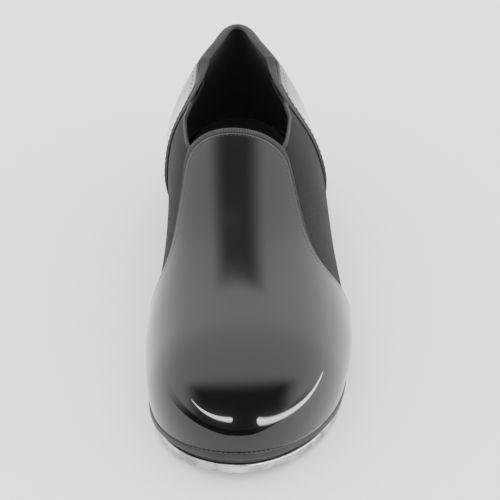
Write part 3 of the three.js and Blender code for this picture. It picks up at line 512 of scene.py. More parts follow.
# ---------------------------------------------------------------- vamp
# The front of the upper, cut from black patent leather and lasted down over the toe. It is one
# smooth closed skin 1.4 mm thick with a turned, rounded edge at the throat and down both seams.
BULGE_MEDIAL = [0, 0.5, 2.5, 4, 4.5, 5.5, 7.5, 9.5, 9, 8, 6]
BULGE_LATERAL = [0, 0.5, 2.5, 4, 5, 6, 8, 10, 9.5, 8, 6]
RIDGE = [31, 36, 39, 42, 48, 55, 59.5, 54, 72, 110, 130]
FULLNESS = [-0.03, -0.03, -0.03, -0.03, -0.035, -0.04, -0.04, -0.03, 0, 0, 0]
SKEW = [0, 0, -0.5, -1.5, -3, -4, -4, -3, -1.5, -0.8, -0.5]
LAST_INSET = 4.8
END = HEEL_ROUND + HEEL_SPAN        # q at the middle of the back
PATENT_IN, PATENT_OUT, PATENT_ROUND = 2.6, 4.0, 0.7     # offsets from the last, radius of the edge
FEATHER = 0.3                       # the leather's lower edge over the outsole
MARGIN_IN, MARGIN_MID = 1.7, 1.0    # inner face and middle of the lasted margin over the outsole
LINING_OUT, LINING_FOOT = 0.8, 2.0


def last(q, phi):
    """Point of the last. q runs from the toe to the middle of the heel; phi is the angle round
    the foot from the ridge, negative on the medial side. Each section is a half oval whose
    half-width and height follow the tables; the ankle leans in behind the instep."""
    q, phi = np.broadcast_arrays(np.asarray(q, float), np.asarray(phi, float))
    beta = np.clip((q - HEEL_ROUND) / HEEL_SPAN, 0, 1) * np.pi / 2
    q0 = np.minimum(q, HEEL_ROUND)
    k = along(FULLNESS, q0)
    x = (np.sin(phi) - k * np.sin(3 * phi)) / (1 + k)
    c = (np.cos(phi) + k * np.cos(3 * phi)) / (1 + k)
    up = along(RIDGE, q0) * np.sqrt(1 - toe_close(q0)) * c
    t = up / 60
    back = LENGTH - LAST_INSET + 18 * t - 32 * t * t + 11 * t ** 3
    a = q0 + np.where(q > HEEL_ROUND, (back - HEEL_ROUND) * np.sin(beta) ** (2 / HEEL_POWER), 0)
    a = a + np.where(q < TOE_ROUND, LAST_INSET * np.clip(1 - q / TOE_ROUND, 0, 1) ** 2, 0)
    lean = 6.5 * np.clip((a - 168) / 82, 0, 0.76) ** 1.5
    x = x * np.maximum(np.abs(x), 1e-9) ** lean
    bulge = 1 - (1 - np.clip(up / 16, 0, 1)) ** 3
    med = along(SOLE_MEDIAL, a) - LAST_INSET + along(BULGE_MEDIAL, a) * bulge
    lat = along(SOLE_LATERAL, a) - LAST_INSET + along(BULGE_LATERAL, a) * bulge
    close = np.sqrt(np.clip(1 - toe_close(q), 0, 1)) * np.cos(beta)
    w = ((med + lat) / 2 + (lat - med) / 2 * np.sin(phi)) * close
    return np.stack([w * x + along(SKEW, a) * c + along(AXIS_SHIFT, a), a - LENGTH / 2, seat(a) + up], -1)


def normal_at(q, phi):
    """Outward normal of the last."""
    q, phi = np.broadcast_arrays(np.asarray(q, float), np.asarray(phi, float))
    dq = np.clip(q / 4, 1e-4, 0.05)
    hi = np.minimum(q + dq, END)
    a = last(hi, phi) - last(hi - 2 * dq, phi)
    a = np.where((q > END - 1e-3)[..., None], -np.sign(phi)[..., None] * [1.0, 0, 0], a)
    b = last(q, phi + 0.002) - last(q, phi - 0.002)
    n = np.cross(b, a)
    n = np.where((q < 1e-3)[..., None], [0.0, -1.0, 0.0], n)
    return n / np.maximum(np.linalg.norm(n, axis=-1), 1e-12)[..., None]


def shell(q, phi, out):
    """The last moved out along its normal."""
    return last(q, phi) + normal_at(q, phi) * np.asarray(out, float)[..., None]


def halve(test, low, high, like):
    """Bisection on arrays: the place where test turns from positive to not."""
    lo, hi = np.full(like, float(low)), np.full(like, float(high))
    for _ in range(24):
        mid = (lo + hi) / 2
        yes = test(mid) > 0
        lo, hi = np.where(yes, mid, lo), np.where(yes, hi, mid)
    return (lo + hi) / 2


def foot(q, side, out, level):
    """Angle at which a layer stands level above the sole."""
    q, side, out, level = np.broadcast_arrays(*(np.asarray(v, float) for v in (q, side, out, level)))

    def test(f):
        p = shell(q, side * f, out)
        return p[..., 2] - seat(p[..., 1] + LENGTH / 2) - level
    return halve(test, 0, np.pi / 2, q.shape)


EDGE_MEDIAL = ([144.6, 144.4, 143.6, 141.6, 138, 132.5, 125.5, 117, 108, 99.5, 92, 87, 84.5, 84, 84],
               [0, 8, 15, 22, 27.5, 30.5, 31.5, 34, 36.5, 39, 43, 49, 59, 74, 90])
EDGE_LATERAL = ([144.6, 144.4, 143.6, 141.6, 138, 133, 126.5, 117, 107, 97.5, 90.5, 87, 87, 88.5, 90],
                [0, 8, 16, 23.5, 29.5, 32, 33.5, 35, 36.5, 39, 43.5, 50, 61, 75, 90])


def vamp_edge(t):
    """Edge of the vamp: t from -1 at the medial feather, 0 at the throat, to 1 lateral."""
    t = np.asarray(t, float)
    k = np.abs(t)
    q, f = [np.where(t < 0, spline(np.array(medial, float), k), spline(np.array(lateral, float), k))
            for medial, lateral in zip(EDGE_MEDIAL, EDGE_LATERAL)]
    return q, np.sign(t) * np.radians(f)


def margin_point(q, side, level, inset=13.8):
    """Inner end of the lasting margin under the insole."""
    turn = np.sin(np.clip((q - HEEL_ROUND) / HEEL_SPAN, 0, 1) * np.pi / 2) ** (2 / HEEL_POWER)
    a = np.where(q < TOE_ROUND, inset + (TOE_ROUND - inset) * q / TOE_ROUND,
                 np.minimum(q, HEEL_ROUND) + turn * (LENGTH - inset - HEEL_ROUND))
    return np.stack([half_width(a, side, inset), a - LENGTH / 2, seat(a) + level], -1)


def thickness(distance, low, high, radius):
    """Inner and outer offset of a sheet whose edge is rounded over a radius."""
    bend = np.sqrt(np.clip(1 - (1 - np.clip(distance / radius, 0, 1)) ** 2, 0, 1))
    mid, half = (low + high) / 2, (high - low) / 2
    return mid - half * bend, mid + half * bend


def two_skins(name, outer, inner, material, borders=(), uv=None, weld=4e-6):
    """Closed sheet from an outer and an inner grid of points. borders are runs of point numbers
    along which the two skins are joined; elsewhere their edges meet and are welded."""
    r, c = outer.shape[:2]
    n = r * c
    blocks = [grid_faces(r, c), grid_faces(r, c, start=n)]
    blocks += [np.stack([run[:-1], run[1:], n + run[1:], n + run[:-1]], -1) for run in borders]
    points = np.concatenate([outer.reshape(-1, 3), inner.reshape(-1, 3)])
    return mesh_of(name, points, blocks, uv=uv, material=material, weld=weld)


def toe_sheet(name, low, high, level, rows, cols, material, margin=True, roll=PATENT_ROUND):
    """Closed sheet from the toe back to the vamp's edge: an outer and an inner grid that meet in
    a rounded edge. q closes on the toe point; phi spreads from the ridge to the feather line."""
    close_rows = 1 - np.array([0.007, 0.0045, 0.0028, 0.0016, 0.0007, 0.0002, 0])
    s = np.concatenate([np.linspace(0, 1, rows)[:-1] * 0.993, close_rows])
    t = np.linspace(-1, 1, cols)
    eq, ef = vamp_edge(t)
    side = np.where(t < 0, -1.0, 1.0)
    share = np.minimum(1, np.abs(ef) / foot(eq, side, high, level))
    toe_part = 0.42                              # share of the rows that goes round the toe
    S = s[:, None]
    turn = 1 - np.cos(np.clip(S / toe_part, 0, 1) * np.pi / 2)
    lo, hi = thickness((1 - S) * 150.0 + 0 * t[None], low, high, roll)
    grids = []
    for out, lvl in ((hi, level), (lo, level + (high - low) * margin)):
        def below(q):
            p = shell(q, 0.0 * q, out[0, :1])
            return lvl - (p[..., 2] - seat(p[..., 1] + LENGTH / 2))

        start = halve(below, 0, 3, (1,))[0]
        q = np.where(S < toe_part, start + (TOE_ROUND - start) * turn,
                     TOE_ROUND + (eq[None] - TOE_ROUND) * (S - toe_part) / (1 - toe_part))
        base = foot(q, side[None] + 0 * q, out, lvl)
        k = np.abs(t)[None] + 0 * q
        f = base * (k + (share[None] - k) * np.where(k >= 1, 1.0, ease(S)))
        f = np.where(S <= 0, 0, f)
        P = shell(q, side * f, out)
        if margin:
            turned = []
            for col, sd in ((0, -1.0), (-1, 1.0)):
                qe = np.where(s < toe_part, TOE_ROUND * turn[:, 0], q[:, col])
                end = margin_point(qe, sd, MARGIN_MID)
                flat = margin_point(qe, sd, lvl)
                edge = P[:, col]
                turned.append([edge + (flat - edge) * w for w in (0.25, 0.6, 0.93)] + [end])
            P = np.concatenate([np.stack(turned[0][::-1], 1), P, np.stack(turned[1], 1)], 1)
        grids.append(P)
    r, c = grids[0].shape[:2]
    borders = [] if margin else [np.arange(r) * c + col for col in (0, c - 1)]
    return two_skins(name, *grids, material, borders)


# Patent leather: leather dyed black under a thick polyurethane film. The film gives sharp
# reflections; the leather below leaves a very soft waviness and a few pinhead dimples.
patent, tree, shader = finish_of("patent_leather", "#060606", Roughness=0.3, Specular_IOR_Level=0.05,
                                 Coat_Weight=1.0, Coat_Roughness=0.03, Coat_IOR=1.46)
soft = bumped(tree, shader, texture(tree, Scale=45.0, Detail=1.5), 0.00012, 0.35)
pores = texture(tree, "Voronoi", "Distance", Scale=900.0)
fine = node(tree, "ShaderNodeBump", links=[(pores, "Height"), (soft.outputs["Normal"], "Normal")],
            Distance=0.00001, Strength=0.15)
tree.links.new(fine.outputs["Normal"], shader.inputs["Normal"])
tree.links.new(soft.outputs["Normal"], shader.inputs["Coat Normal"])

vamp = toe_sheet("vamp_patent", PATENT_IN, PATENT_OUT, FEATHER, 170, 181, patent)
across_flex(vamp, "patent", "vamp")

# Woven cotton lining, black and matt, sewn in behind the leather.
lining_cloth, tree, shader = finish_of("lining_cloth", "#0b0b0c", Roughness=0.92, Sheen_Weight=0.08,
                                       Sheen_Roughness=0.6)
cloth = texture(tree, Scale=1200.0, Detail=3.0)
tinted(tree, shader, cloth, (0.35, "#070708"), (0.7, "#101011"))
bumped(tree, shader, cloth, 0.0001, 0.6)
vamp_lining = toe_sheet("vamp_lining_sewn", 0.0, LINING_OUT, LINING_FOOT, 70, 81, lining_cloth,
                        margin=False, roll=0.4)
across_flex(vamp_lining, "lining", "vamp_lining")


def across(surface, q, f, out, dq, df):
    """Step of (q, angle) that moves a curve 1 mm to the left, as seen from outside, at right
    angles to itself in the surface. dq and df are the curve's own steps."""
    pq = (surface(q + 0.1, f, out) - surface(q - 0.1, f, out)) * 5
    pf = (surface(q, f + 0.005, out) - surface(q, f - 0.005, out)) * 100
    left = np.cross(np.cross(pq, pf), pq * dq[:, None] + pf * df[:, None])
    left /= np.linalg.norm(left, axis=1)[:, None]
    aa, bb, ab = (pq * pq).sum(1), (pf * pf).sum(1), (pq * pf).sum(1)
    da, db = (pq * left).sum(1), (pf * left).sum(1)
    det = aa * bb - ab * ab
    return (da * bb - db * ab) / det, (db * aa - da * ab) / det


def beside(q, f, d, out):
    """Curve shifted by d in the surface, at right angles to itself, and set at an offset."""
    step_q, step_f = across(shell, q, f, out, np.gradient(q), np.gradient(f))
    return q + d * step_q, f + d * step_f


def sewn(name, q, f, out, pitch, length, radius):
    """Row of black thread along a curve on the outer face of a layer."""
    face = shell(q, f, np.full(len(q), out))
    return stitches(name, face, normal_at(q, f), pitch, length, radius, thread)


# The sewn line runs just inside the vamp's edge; inside is the side of the curve with the leather.
q_edge, f_edge = vamp_edge(np.linspace(-0.985, 0.985, 900))
face = np.full(900, PATENT_OUT)
inside = 1 if beside(q_edge, f_edge, 1.0, face)[0][450] < q_edge[450] else -1
q_sew, f_sew = beside(q_edge, f_edge, inside * 1.7, face)
vamp_seam = sewn("vamp_stitching", q_sew, f_sew, PATENT_OUT, 1.9, 1.35, 0.2)
across_flex(vamp_seam, "patent")

# ---------------------------------------------------------------- gores
# Elastic webbing panels let in at both sides: rubber cords run front to back under a knitted
# cotton face, so the cloth shows fine ribs. The top is turned over into a hem and sewn, and the hem band is
# painted lighter as painted light.
def bands(tree, direction, pitch, **values):
    """Factor of straight bands over the piece's own UV, one to a pitch in millimetres."""
    return texture(tree, "Wave", space="UV", Scale=0.314 / pitch, **values,
                   settings={"wave_type": "BANDS", "bands_direction": direction})


def combined(tree, how, a, b):
    """Two factors added or multiplied."""
    return node(tree, "ShaderNodeMath", links=[(a, 0), (b, 1)], settings={"operation": how}).outputs[0]


gore_web, tree, shader = finish_of("elastic_webbing", "#141415", Roughness=0.9, Specular_IOR_Level=0.2,
                                   Sheen_Weight=0.04, Sheen_Roughness=0.5)
uvmap = node(tree, "ShaderNodeTexCoord").outputs["UV"]
split = node(tree, "ShaderNodeSeparateXYZ", links=[(uvmap, "Vector")])
both = combined(tree, "MULTIPLY", bands(tree, "Y", 1.1, Distortion=0.0),
                bands(tree, "X", 0.9, Distortion=0.6, Detail=1.0))
mixed = combined(tree, "ADD", both, texture(tree, space="UV", Scale=3.0, Detail=4.0))
tone = ramp(tree, mixed, [(0.3, "#0a0a0b"), (0.75, "#19191b"), (1.0, "#272729")])
# painted light: the turned hem, down to 3.4 mm below the top and easing out by 4.4 mm, is painted up to 2.6
# times lighter than the webbing below it
hem_painted_light = node(tree, "ShaderNodeMapRange", links=[(split.outputs["Y"], "Value")],
                From_Min=3.4, From_Max=4.4, To_Min=2.6, To_Max=1.0)
tone_with_painted_light = node(tree, "ShaderNodeVectorMath", settings={"operation": "SCALE"},
           links=[(tone.outputs["Color"], 0), (hem_painted_light.outputs["Result"], "Scale")])
tree.links.new(tone_with_painted_light.outputs[0], shader.inputs["Base Color"])
bumped(tree, shader, mixed, 0.00025, 0.8)

QUARTER_FRONT = np.array([170, 172, 174, 175, 176, 177.5, 180.5, 186, 197], float)
TOPLINE_FRONT, TOPLINE_BACK = 78.6, 86.0


def topline(a):
    """Height of the collar's sewn edge at a station."""
    return TOPLINE_FRONT + (TOPLINE_BACK - TOPLINE_FRONT) * ease((a - 178) / 64)


def rim(q, side, out, drop=0.0):
    """Angle at which a layer meets the collar line."""
    q, side, out, drop = np.broadcast_arrays(*(np.asarray(v, float) for v in (q, side, out, drop)))

    def test(f):
        p = shell(q, side * f, out)
        return p[..., 2] - topline(p[..., 1] + LENGTH / 2) + drop
    return halve(test, 0.02, np.pi / 2, q.shape)


HEM = TOPLINE_FRONT - 1.5            # height of the gore's top, and where it levels out
WEB = 2.3                           # offset of the webbing's face
GORE_LAP, THROAT_CORNER, HEM_LEVEL = 8.0, 0.315, 158.0


def gore(name, side):
    """Closed sheet between the vamp's seam and the quarter, each lapping it by 8 mm. Its front
    and rear borders, foot and hem are blended across as a Coons patch of (q, angle); the hem is
    doubled, with a groove along each of its two sewn lines."""
    rows, cols = 64, 90
    v = np.concatenate([np.linspace(0, 0.88, rows - 26), np.linspace(0.88, 1, 27)[1:]])
    u = np.linspace(0, 1, cols)
    gusset = np.full(rows, WEB)

    def low_at(q, level):
        return foot(q, side, WEB, level)

    def hem_at(q, start, z0):
        run = np.clip((q - start) / (HEM_LEVEL - start), 0, 1)
        z = z0 + (HEM - z0) * (1 - (1 - run) ** 2) - 0.8 * ease((q - 181) / 5)
        return halve(lambda f: shell(q, side * f, 0 * q + WEB)[..., 2] - z, 0.02, np.pi / 2, np.shape(q))

    t = 1 + (THROAT_CORNER - 0.03 - 1) * v
    eq, ef = vamp_edge(side * np.minimum(t, 0.995))
    fq, ff = beside(eq, ef, -side * inside * GORE_LAP, gusset)
    ff = np.minimum(np.abs(ff), low_at(fq, 2.0))
    ff[0] = low_at(fq[:1], 2.0)[0]
    rq = spline(QUARTER_FRONT, v) + GORE_LAP
    z0 = float(shell(fq[-1:], side * ff[-1:], gusset[-1:])[0, 2])
    r_hem = hem_at(rq, fq[-1], z0)
    r_low = low_at(rq, 2.0)
    rf = r_low + (r_hem - r_low) * v
    bq = fq[0] + (rq[0] - fq[0]) * u
    seam_end = float(vamp_edge(np.array([side * 1.0]))[0][0])
    bare = ease((bq - seam_end - 0.4) / 1.6) * ease((QUARTER_FRONT[0] - 0.4 - bq) / 1.6)
    bf = low_at(bq, 2 - 1.7 * bare)
    tq = fq[-1] + (rq[-1] - fq[-1]) * u
    tf = hem_at(tq, fq[-1], z0)
    tf[0] = ff[-1]
    V, U = v[:, None], u[None]

    def patch(f, r, b, t):
        return ((1 - U) * f[:, None] + U * r[:, None] + (1 - V) * b[None] + V * t[None]
                - ((1 - U) * (1 - V) * f[0] + U * (1 - V) * r[0] + (1 - U) * V * f[-1] + U * V * r[-1]))

    q, f = patch(fq, rq, bq, tq), patch(ff, rf, bf, tf)
    P0 = shell(q, side * f, np.full(q.shape, WEB))
    height = np.linalg.norm(np.diff(P0, axis=0), axis=2)
    below = np.concatenate([np.cumsum(height[::-1], axis=0)[::-1], np.zeros((1, cols))])
    dish = 0.22 * np.sin(np.pi * U) ** 2 * np.sin(np.pi * V)
    fold = (0.34 * (1 - ease((below - 3.6) / 0.5)) - 0.2 * np.exp(-((below - 1.3) / 0.25) ** 2)
            - 0.16 * np.exp(-((below - 3.9) / 0.3) ** 2)) * ease((U - 0.02) / 0.08)
    high = WEB + np.minimum(fold, 0.28) - dish
    low = 1.35 - 0.2 * (below < 3.6) - dish
    bend = np.sqrt(np.clip(1 - (1 - np.clip(below / 0.5, 0, 1)) ** 2, 0, 1))
    mid = (high + low) / 2
    outer = shell(q, side * f, mid + (high - mid) * bend)
    inner = shell(q, side * f, mid - (mid - low) * bend)
    borders = [np.arange(rows) * cols + c for c in (0, cols - 1)] + [np.arange(cols)]
    steps = np.linalg.norm(np.diff(P0, axis=1), axis=2)
    along_web = np.concatenate([np.zeros((rows, 1)), np.cumsum(steps, axis=1)], 1)
    uv = np.stack([along_web, below], -1).reshape(-1, 2)
    obj = two_skins(name, outer, inner, gore_web, borders, uv=np.concatenate([uv, uv]), weld=3e-6)
    show = (u > 0.2) & (u < 0.9)
    row_q, row = [np.array([np.interp(-2.6, -below[:, k], x[:, k]) for k in range(cols)]) for x in (q, f)]
    return obj, shell(row_q, side * row, np.full(cols, 2.58))[show], normal_at(row_q, side * row)[show]


# Polyester thread of the hem, a shade lighter than the webbing.
hem_thread, tree, shader = finish_of("hem_thread", "#4a4a4c", Roughness=0.6)
for name, side in (("gore_medial", -1), ("gore_lateral", 1)):
    panel, hem_path, hem_normal = gore(name + "_webbing", side)
    across_flex(panel, "gore", name)
    zigzag = stitches(name + "_hem_stitching", hem_path, hem_normal, 1.1, 1.9, 0.2, hem_thread, slant=0.9)
    across_flex(zigzag, "gore")

# ---------------------------------------------------------------- quarters
# Two patent leather panels meet at the back seam and are lasted under the heel seat. Their
# front and top edges are turned, rounded and topstitched.
BACK_GAP = END - 0.15


def clustered(n, length, radius, start=True, end=True):
    """Places from 0 to 1 along a length, closer together within radius of the rounded ends."""
    fine = radius * (1 - np.cos(np.linspace(0, np.pi / 2, 6)))[:-1] / length
    core = np.linspace(radius / length if start else 0, 1 - radius / length if end else 1, n)
    parts = ([fine] if start else []) + [core] + ([1 - fine[::-1]] if end else [])
    return np.concatenate(parts)


def climbed(q, side, out, share, level, drop=0.0):
    """Angle of a layer at a share of the way from its foot to the collar line."""
    low, high = foot(q, side, out, level), rim(q, side, out, drop)
    return low + (high - low) * share


def quarter(name, side):
    """Closed sheet from the gore to the back seam and from the sole to the collar line, with a
    margin turned under the insole."""
    w = clustered(90, 90.0, 0.7)
    v = clustered(64, 52.0, 0.7, start=False)
    V, W = np.meshgrid(v, w)
    qf = spline(QUARTER_FRONT, v)[None]
    q = qf + (BACK_GAP - qf) * (W * 0.65 + 0.35 * np.sin(W * np.pi / 2))
    d = np.minimum(np.minimum(W * 90.0, (1 - V) * 52.0), (1 - W) * 90.0 * 1.4)
    lo, hi = thickness(d, PATENT_IN, PATENT_OUT, PATENT_ROUND)
    grids = []
    for out, level in ((hi, FEATHER), (lo, MARGIN_IN)):
        P = shell(q, side * climbed(q, side, out, V, level), out)
        edge = P[:, 0]
        flat = margin_point(q[:, 0], side, level)
        end = margin_point(q[:, 0], side, MARGIN_MID)
        under = np.stack([end] + [edge + (flat - edge) * k for k in (0.93, 0.6, 0.25)], 1)
        grids.append(np.concatenate([under, P], 1))
    r, c = grids[0].shape[:2]
    return two_skins(name, *grids, patent, [row * c + np.arange(5) for row in (0, r - 1)])


for name, side in (("quarter_medial", -1), ("quarter_lateral", 1)):
    panel = quarter(name + "_patent", side)
    on_body(panel, "rear", "patent", name)
    # topstitch 3.4 mm behind the front edge, then 3.4 mm under the collar line
    v = np.linspace(0.04, 0.9, 160)
    qv = spline(QUARTER_FRONT, v)
    fv = climbed(qv, side, PATENT_OUT, v, FEATHER)
    qt = np.linspace(qv[-1] + 3, END - 9, 260)
    ft = rim(qt, side, PATENT_OUT, 3.4)
    row_q = np.concatenate([qv + 3.4, qt[6:]])
    row_f = np.concatenate([fv, ft[6:]])
    seam = sewn(name + "_stitching", row_q, side * row_f, PATENT_OUT, 3.0, 2.1, 0.3)
    on_body(seam, "rear", "patent")

# ---------------------------------------------------------------- quarter lining
# One piece of black cloth round the heel, from gore to gore, tucked under the collar tape and
# sewn along it.
def folded(u):
    """(q, side) of the coordinate that runs right round the heel, medial side first."""
    return (np.minimum(np.where(u <= END, u, 2 * END - u), END - 0.02),
            np.where(u <= END, -1.0, 1.0))


v = clustered(40, 50.0, 0.4, start=False)
V, W = np.meshgrid(v, np.linspace(0, 1, 150))
qf = spline(QUARTER_FRONT, v)[None] + 0.6
q, side = folded(qf + (2 * END - 2 * qf) * W)
lo, hi = thickness((1 - V) * 50.0, 0.0, LINING_OUT, 0.4)
pair = [shell(q, side * climbed(q, side, out, V, LINING_FOOT, 0.6), out) for out in (hi, lo)]
r, c = V.shape
borders = [row * c + np.arange(c) for row in (0, r - 1)] + [np.arange(r) * c]
quarter_lining = two_skins("quarter_lining_sewn", *pair, lining_cloth, borders, weld=3e-6)
on_body(quarter_lining, "rear", "lining", "quarter_lining")

# ---------------------------------------------------------------- backstay
# A narrow patent strip sewn over the back seam with a row of stitches down each side, wider at
# the sole than at the collar.
STAY_IN, STAY_OUT, STAY_ROUND = 4.05, 4.95, 0.5


def stay_reach(v):
    """Half width of the strip at a share of its height."""
    return 8.0 - 2.2 * ease(v)


V, W = np.meshgrid(clustered(60, 52.0, STAY_ROUND), clustered(26, 16.0, STAY_ROUND))
reach = stay_reach(V)
q, side = folded(END - reach + 2 * reach * W)
d = np.minimum(np.minimum(W, 1 - W) * 16.0, np.minimum(V, 1 - V) * 52.0)
lo, hi = thickness(d, STAY_IN, STAY_OUT, STAY_ROUND)
pair = [shell(q, side * climbed(q, side, out, V, 1.0, 0.5), out) for out in (hi, lo)]
backstay = two_skins("backstay_patent", *pair, patent, weld=3e-6)
on_body(backstay, "rear", "patent", "backstay")
for name, side in (("medial", -1), ("lateral", 1)):
    v = np.linspace(0.04, 0.96, 120)
    q = END - stay_reach(v) + 1.5
    f = side * climbed(q, side, STAY_OUT, v, 1.0, 0.5)
    on_body(sewn(name + "_backstay_stitching", q, f, STAY_OUT, 2.2, 1.5, 0.2), "rear", "patent")

# ---------------------------------------------------------------- bindings
# Woven grosgrain tape, set behind the turned edges of the patent and showing past them: a
# rounded bead at throat and collar, a flat strip where it lies over the elastic.
tape_cloth, tree, shader = finish_of("grosgrain_tape", "#222224", Roughness=0.85, Specular_IOR_Level=0.25,
                                     Sheen_Weight=0.05, Sheen_Roughness=0.5)
weft = combined(tree, "MULTIPLY", bands(tree, "X", 0.75, Distortion=0.35),
                texture(tree, space="UV", Scale=1.1, Detail=6.0, Roughness=0.7))
tinted(tree, shader, weft, (0.05, "#0f0f0f"), (0.25, "#272727"), (0.5, "#4a4a4a"))
bumped(tree, shader, weft, 0.00018, 0.8)

BEAD = [(1.2, 1.0), (1.3, 1.6), (1.2, 2.3), (0.1, 2.4), (-0.4, 2.5), (-0.8, 3.2), (-1.3, 3.42)]
BEAD_TIP = [(0.9, 3.3), (0.35, 2.85), (0.0, 2.0), (0.0, 0.6), (0.35, -0.4), (0.9, -0.75)]
BEAD_IN = [(-1.2, -0.8), (-0.7, -0.7), (-0.2, -0.4), (-0.05, 0.9)]
STRIP = [(0.0, 2.46), (0.05, 2.5), (0.1, 2.52), (0.0, 2.56), (-0.3, 2.62), (-0.55, 3.2), (-0.9, 3.42)]
STRIP_TIP = [(0.75, 3.38), (0.3, 3.2), (0.05, 3.0), (0.0, 2.8), (0.1, 2.6), (0.4, 2.46)]
STRIP_IN = [(-1.0, 2.42), (-0.7, 2.42), (-0.3, 2.42), (-0.1, 2.44)]


def tape_section(show, flat):
    """Section points (distance in from the edge, offset) for each station: a bead where flat is 0
    and a strip where it is 1. The tips are measured from the tape's outer edge."""
    rows = []
    for bead, strip, tip in ((BEAD, STRIP, False), (BEAD_TIP, STRIP_TIP, True), (BEAD_IN, STRIP_IN, False)):
        for (d0, o0), (d1, o1) in zip(bead, strip):
            d = (1 - flat) * d0 + flat * d1
            rows.append((d - show if tip else d, (1 - flat) * o0 + flat * o1))
    return rows


def tape(name, rings):
    """Closed tube through rings of section points, with flat ends."""
    n, m = rings.shape[:2]
    pts = rings.reshape(-1, 3)
    faces = [grid_faces(n, m, wrap=True), [list(range(m))], [list(range((n - 1) * m, n * m))]]
    run = np.concatenate([[0], np.cumsum(np.linalg.norm(np.diff(rings[:, 8], axis=0), axis=1))])
    around = np.linspace(0, 14.0, m)
    uv = np.stack(np.broadcast_arrays(run[:, None], around[None]), -1)
    return mesh_of(name, pts, faces, uv=uv, material=tape_cloth, weld=1e-7)


# Throat and vamp seams: the tape follows the vamp's edge.
t = np.linspace(-0.975, 0.975, 520)
q, f = vamp_edge(t)
k = np.abs(t)
show = 4.4 + (1.9 - 4.4) * ease((k - 0.19) / 0.2)
flat = ease((k - 0.2) / 0.05)
ring = []
for d, out in tape_section(show, flat):
    qq, ff = beside(q, f, inside * d, out + 0 * k)
    ring.append(shell(qq, ff, out + 0 * k))
throat = tape("throat_binding_grosgrain", np.stack(ring, 1))
across_flex(throat, "binding", "throat_binding")

# Collar: up the front of one quarter, round the heel and down the front of the other.
N_FRONT, N_TOP = 150, 420
v = np.linspace(0, 1, N_FRONT)
front_q = spline(QUARTER_FRONT, v)
u_top = np.linspace(front_q[-1], 2 * END - front_q[-1], N_TOP)[1:-1]
size = 2 * N_FRONT + len(u_top)


def collar_line(out):
    """(u, angle) along the whole collar binding at an offset, u running right round the heel."""
    angles = [climbed(front_q, hand, o, v, FEATHER + np.clip(PATENT_OUT - o, 0, None))
              for hand, o in ((-1, out[:N_FRONT]), (1, out[-N_FRONT:][::-1]))]
    f_top = rim(*folded(u_top), out[N_FRONT:-N_FRONT])
    return (np.concatenate([front_q, u_top, (2 * END - front_q)[::-1]]),
            np.concatenate([angles[0], f_top, angles[1][::-1]]))


def unrolled(u, f, out):
    """Point from the coordinate that runs right round the heel."""
    q, hand = folded(u)
    return shell(q, hand * f, out)


def soften(x, times):
    """Averages each value with its neighbours, ends held."""
    for _ in range(times):
        x = np.concatenate([x[:1], (x[:-2] + 2 * x[1:-1] + x[2:]) / 4, x[-1:]])
    return x


three = np.full(size, 3.0)
u0, f0 = collar_line(three)
place = np.arange(size)
from_corner = np.minimum(place - N_FRONT + 1, size - N_FRONT - place)   # negative on the front edges
flat = ease((70 - from_corner) / 100.0)
show = 4.3 + (3.2 - 4.3) * ease((from_corner + 60) / 60.0) + (2.3 - 3.2) * ease(from_corner / 40.0)
step_u, step_f = across(unrolled, u0, f0, three, soften(np.gradient(u0), 40), soften(np.gradient(f0), 40))
ring = []
for d, out in tape_section(show, flat):
    uo, fo = collar_line(out + 0 * show)
    u, f = soften(uo + d * step_u, 160), soften(fo + d * step_f, 160)
    ring.append(unrolled(u, f, out + 0 * show))
collar = tape("collar_binding_grosgrain", np.stack(ring, 1))
on_body(collar, "rear", "binding", "collar_binding")

# ---------------------------------------------------------------- floor, light and camera
# A pale plain floor in an even white studio. Dark cards stand for the room and the table, a
# narrow flag hangs over the instep and two slim curved lights stand round the toe.
floor_paint, tree, shader = finish_of("pale_floor", "#f6f6f6", Roughness=0.9, Specular_IOR_Level=0.1)
bpy.ops.mesh.primitive_plane_add(size=8, location=(0, 0, -0.0002))
floor = bpy.context.object
floor.name = "floor"
floor.data.materials.append(floor_paint)

world = bpy.data.worlds.new("studio")
bpy.context.scene.world = world
world.use_nodes = True
world.node_tree.nodes["Background"].inputs["Color"].default_value = (1, 1, 1, 1)
world.node_tree.nodes["Background"].inputs["Strength"].default_value = 2.6

AIM = Vector((0.0012, -0.0016, 0.0311))


def sky_point(azimuth, elevation, distance):
    """Point at a distance from the shoe: azimuth 0 in front of the toe, positive to the right."""
    a, e = math.radians(azimuth), math.radians(elevation)
    return AIM + Vector((math.sin(a) * math.cos(e), -math.cos(a) * math.cos(e), math.sin(e))) * distance


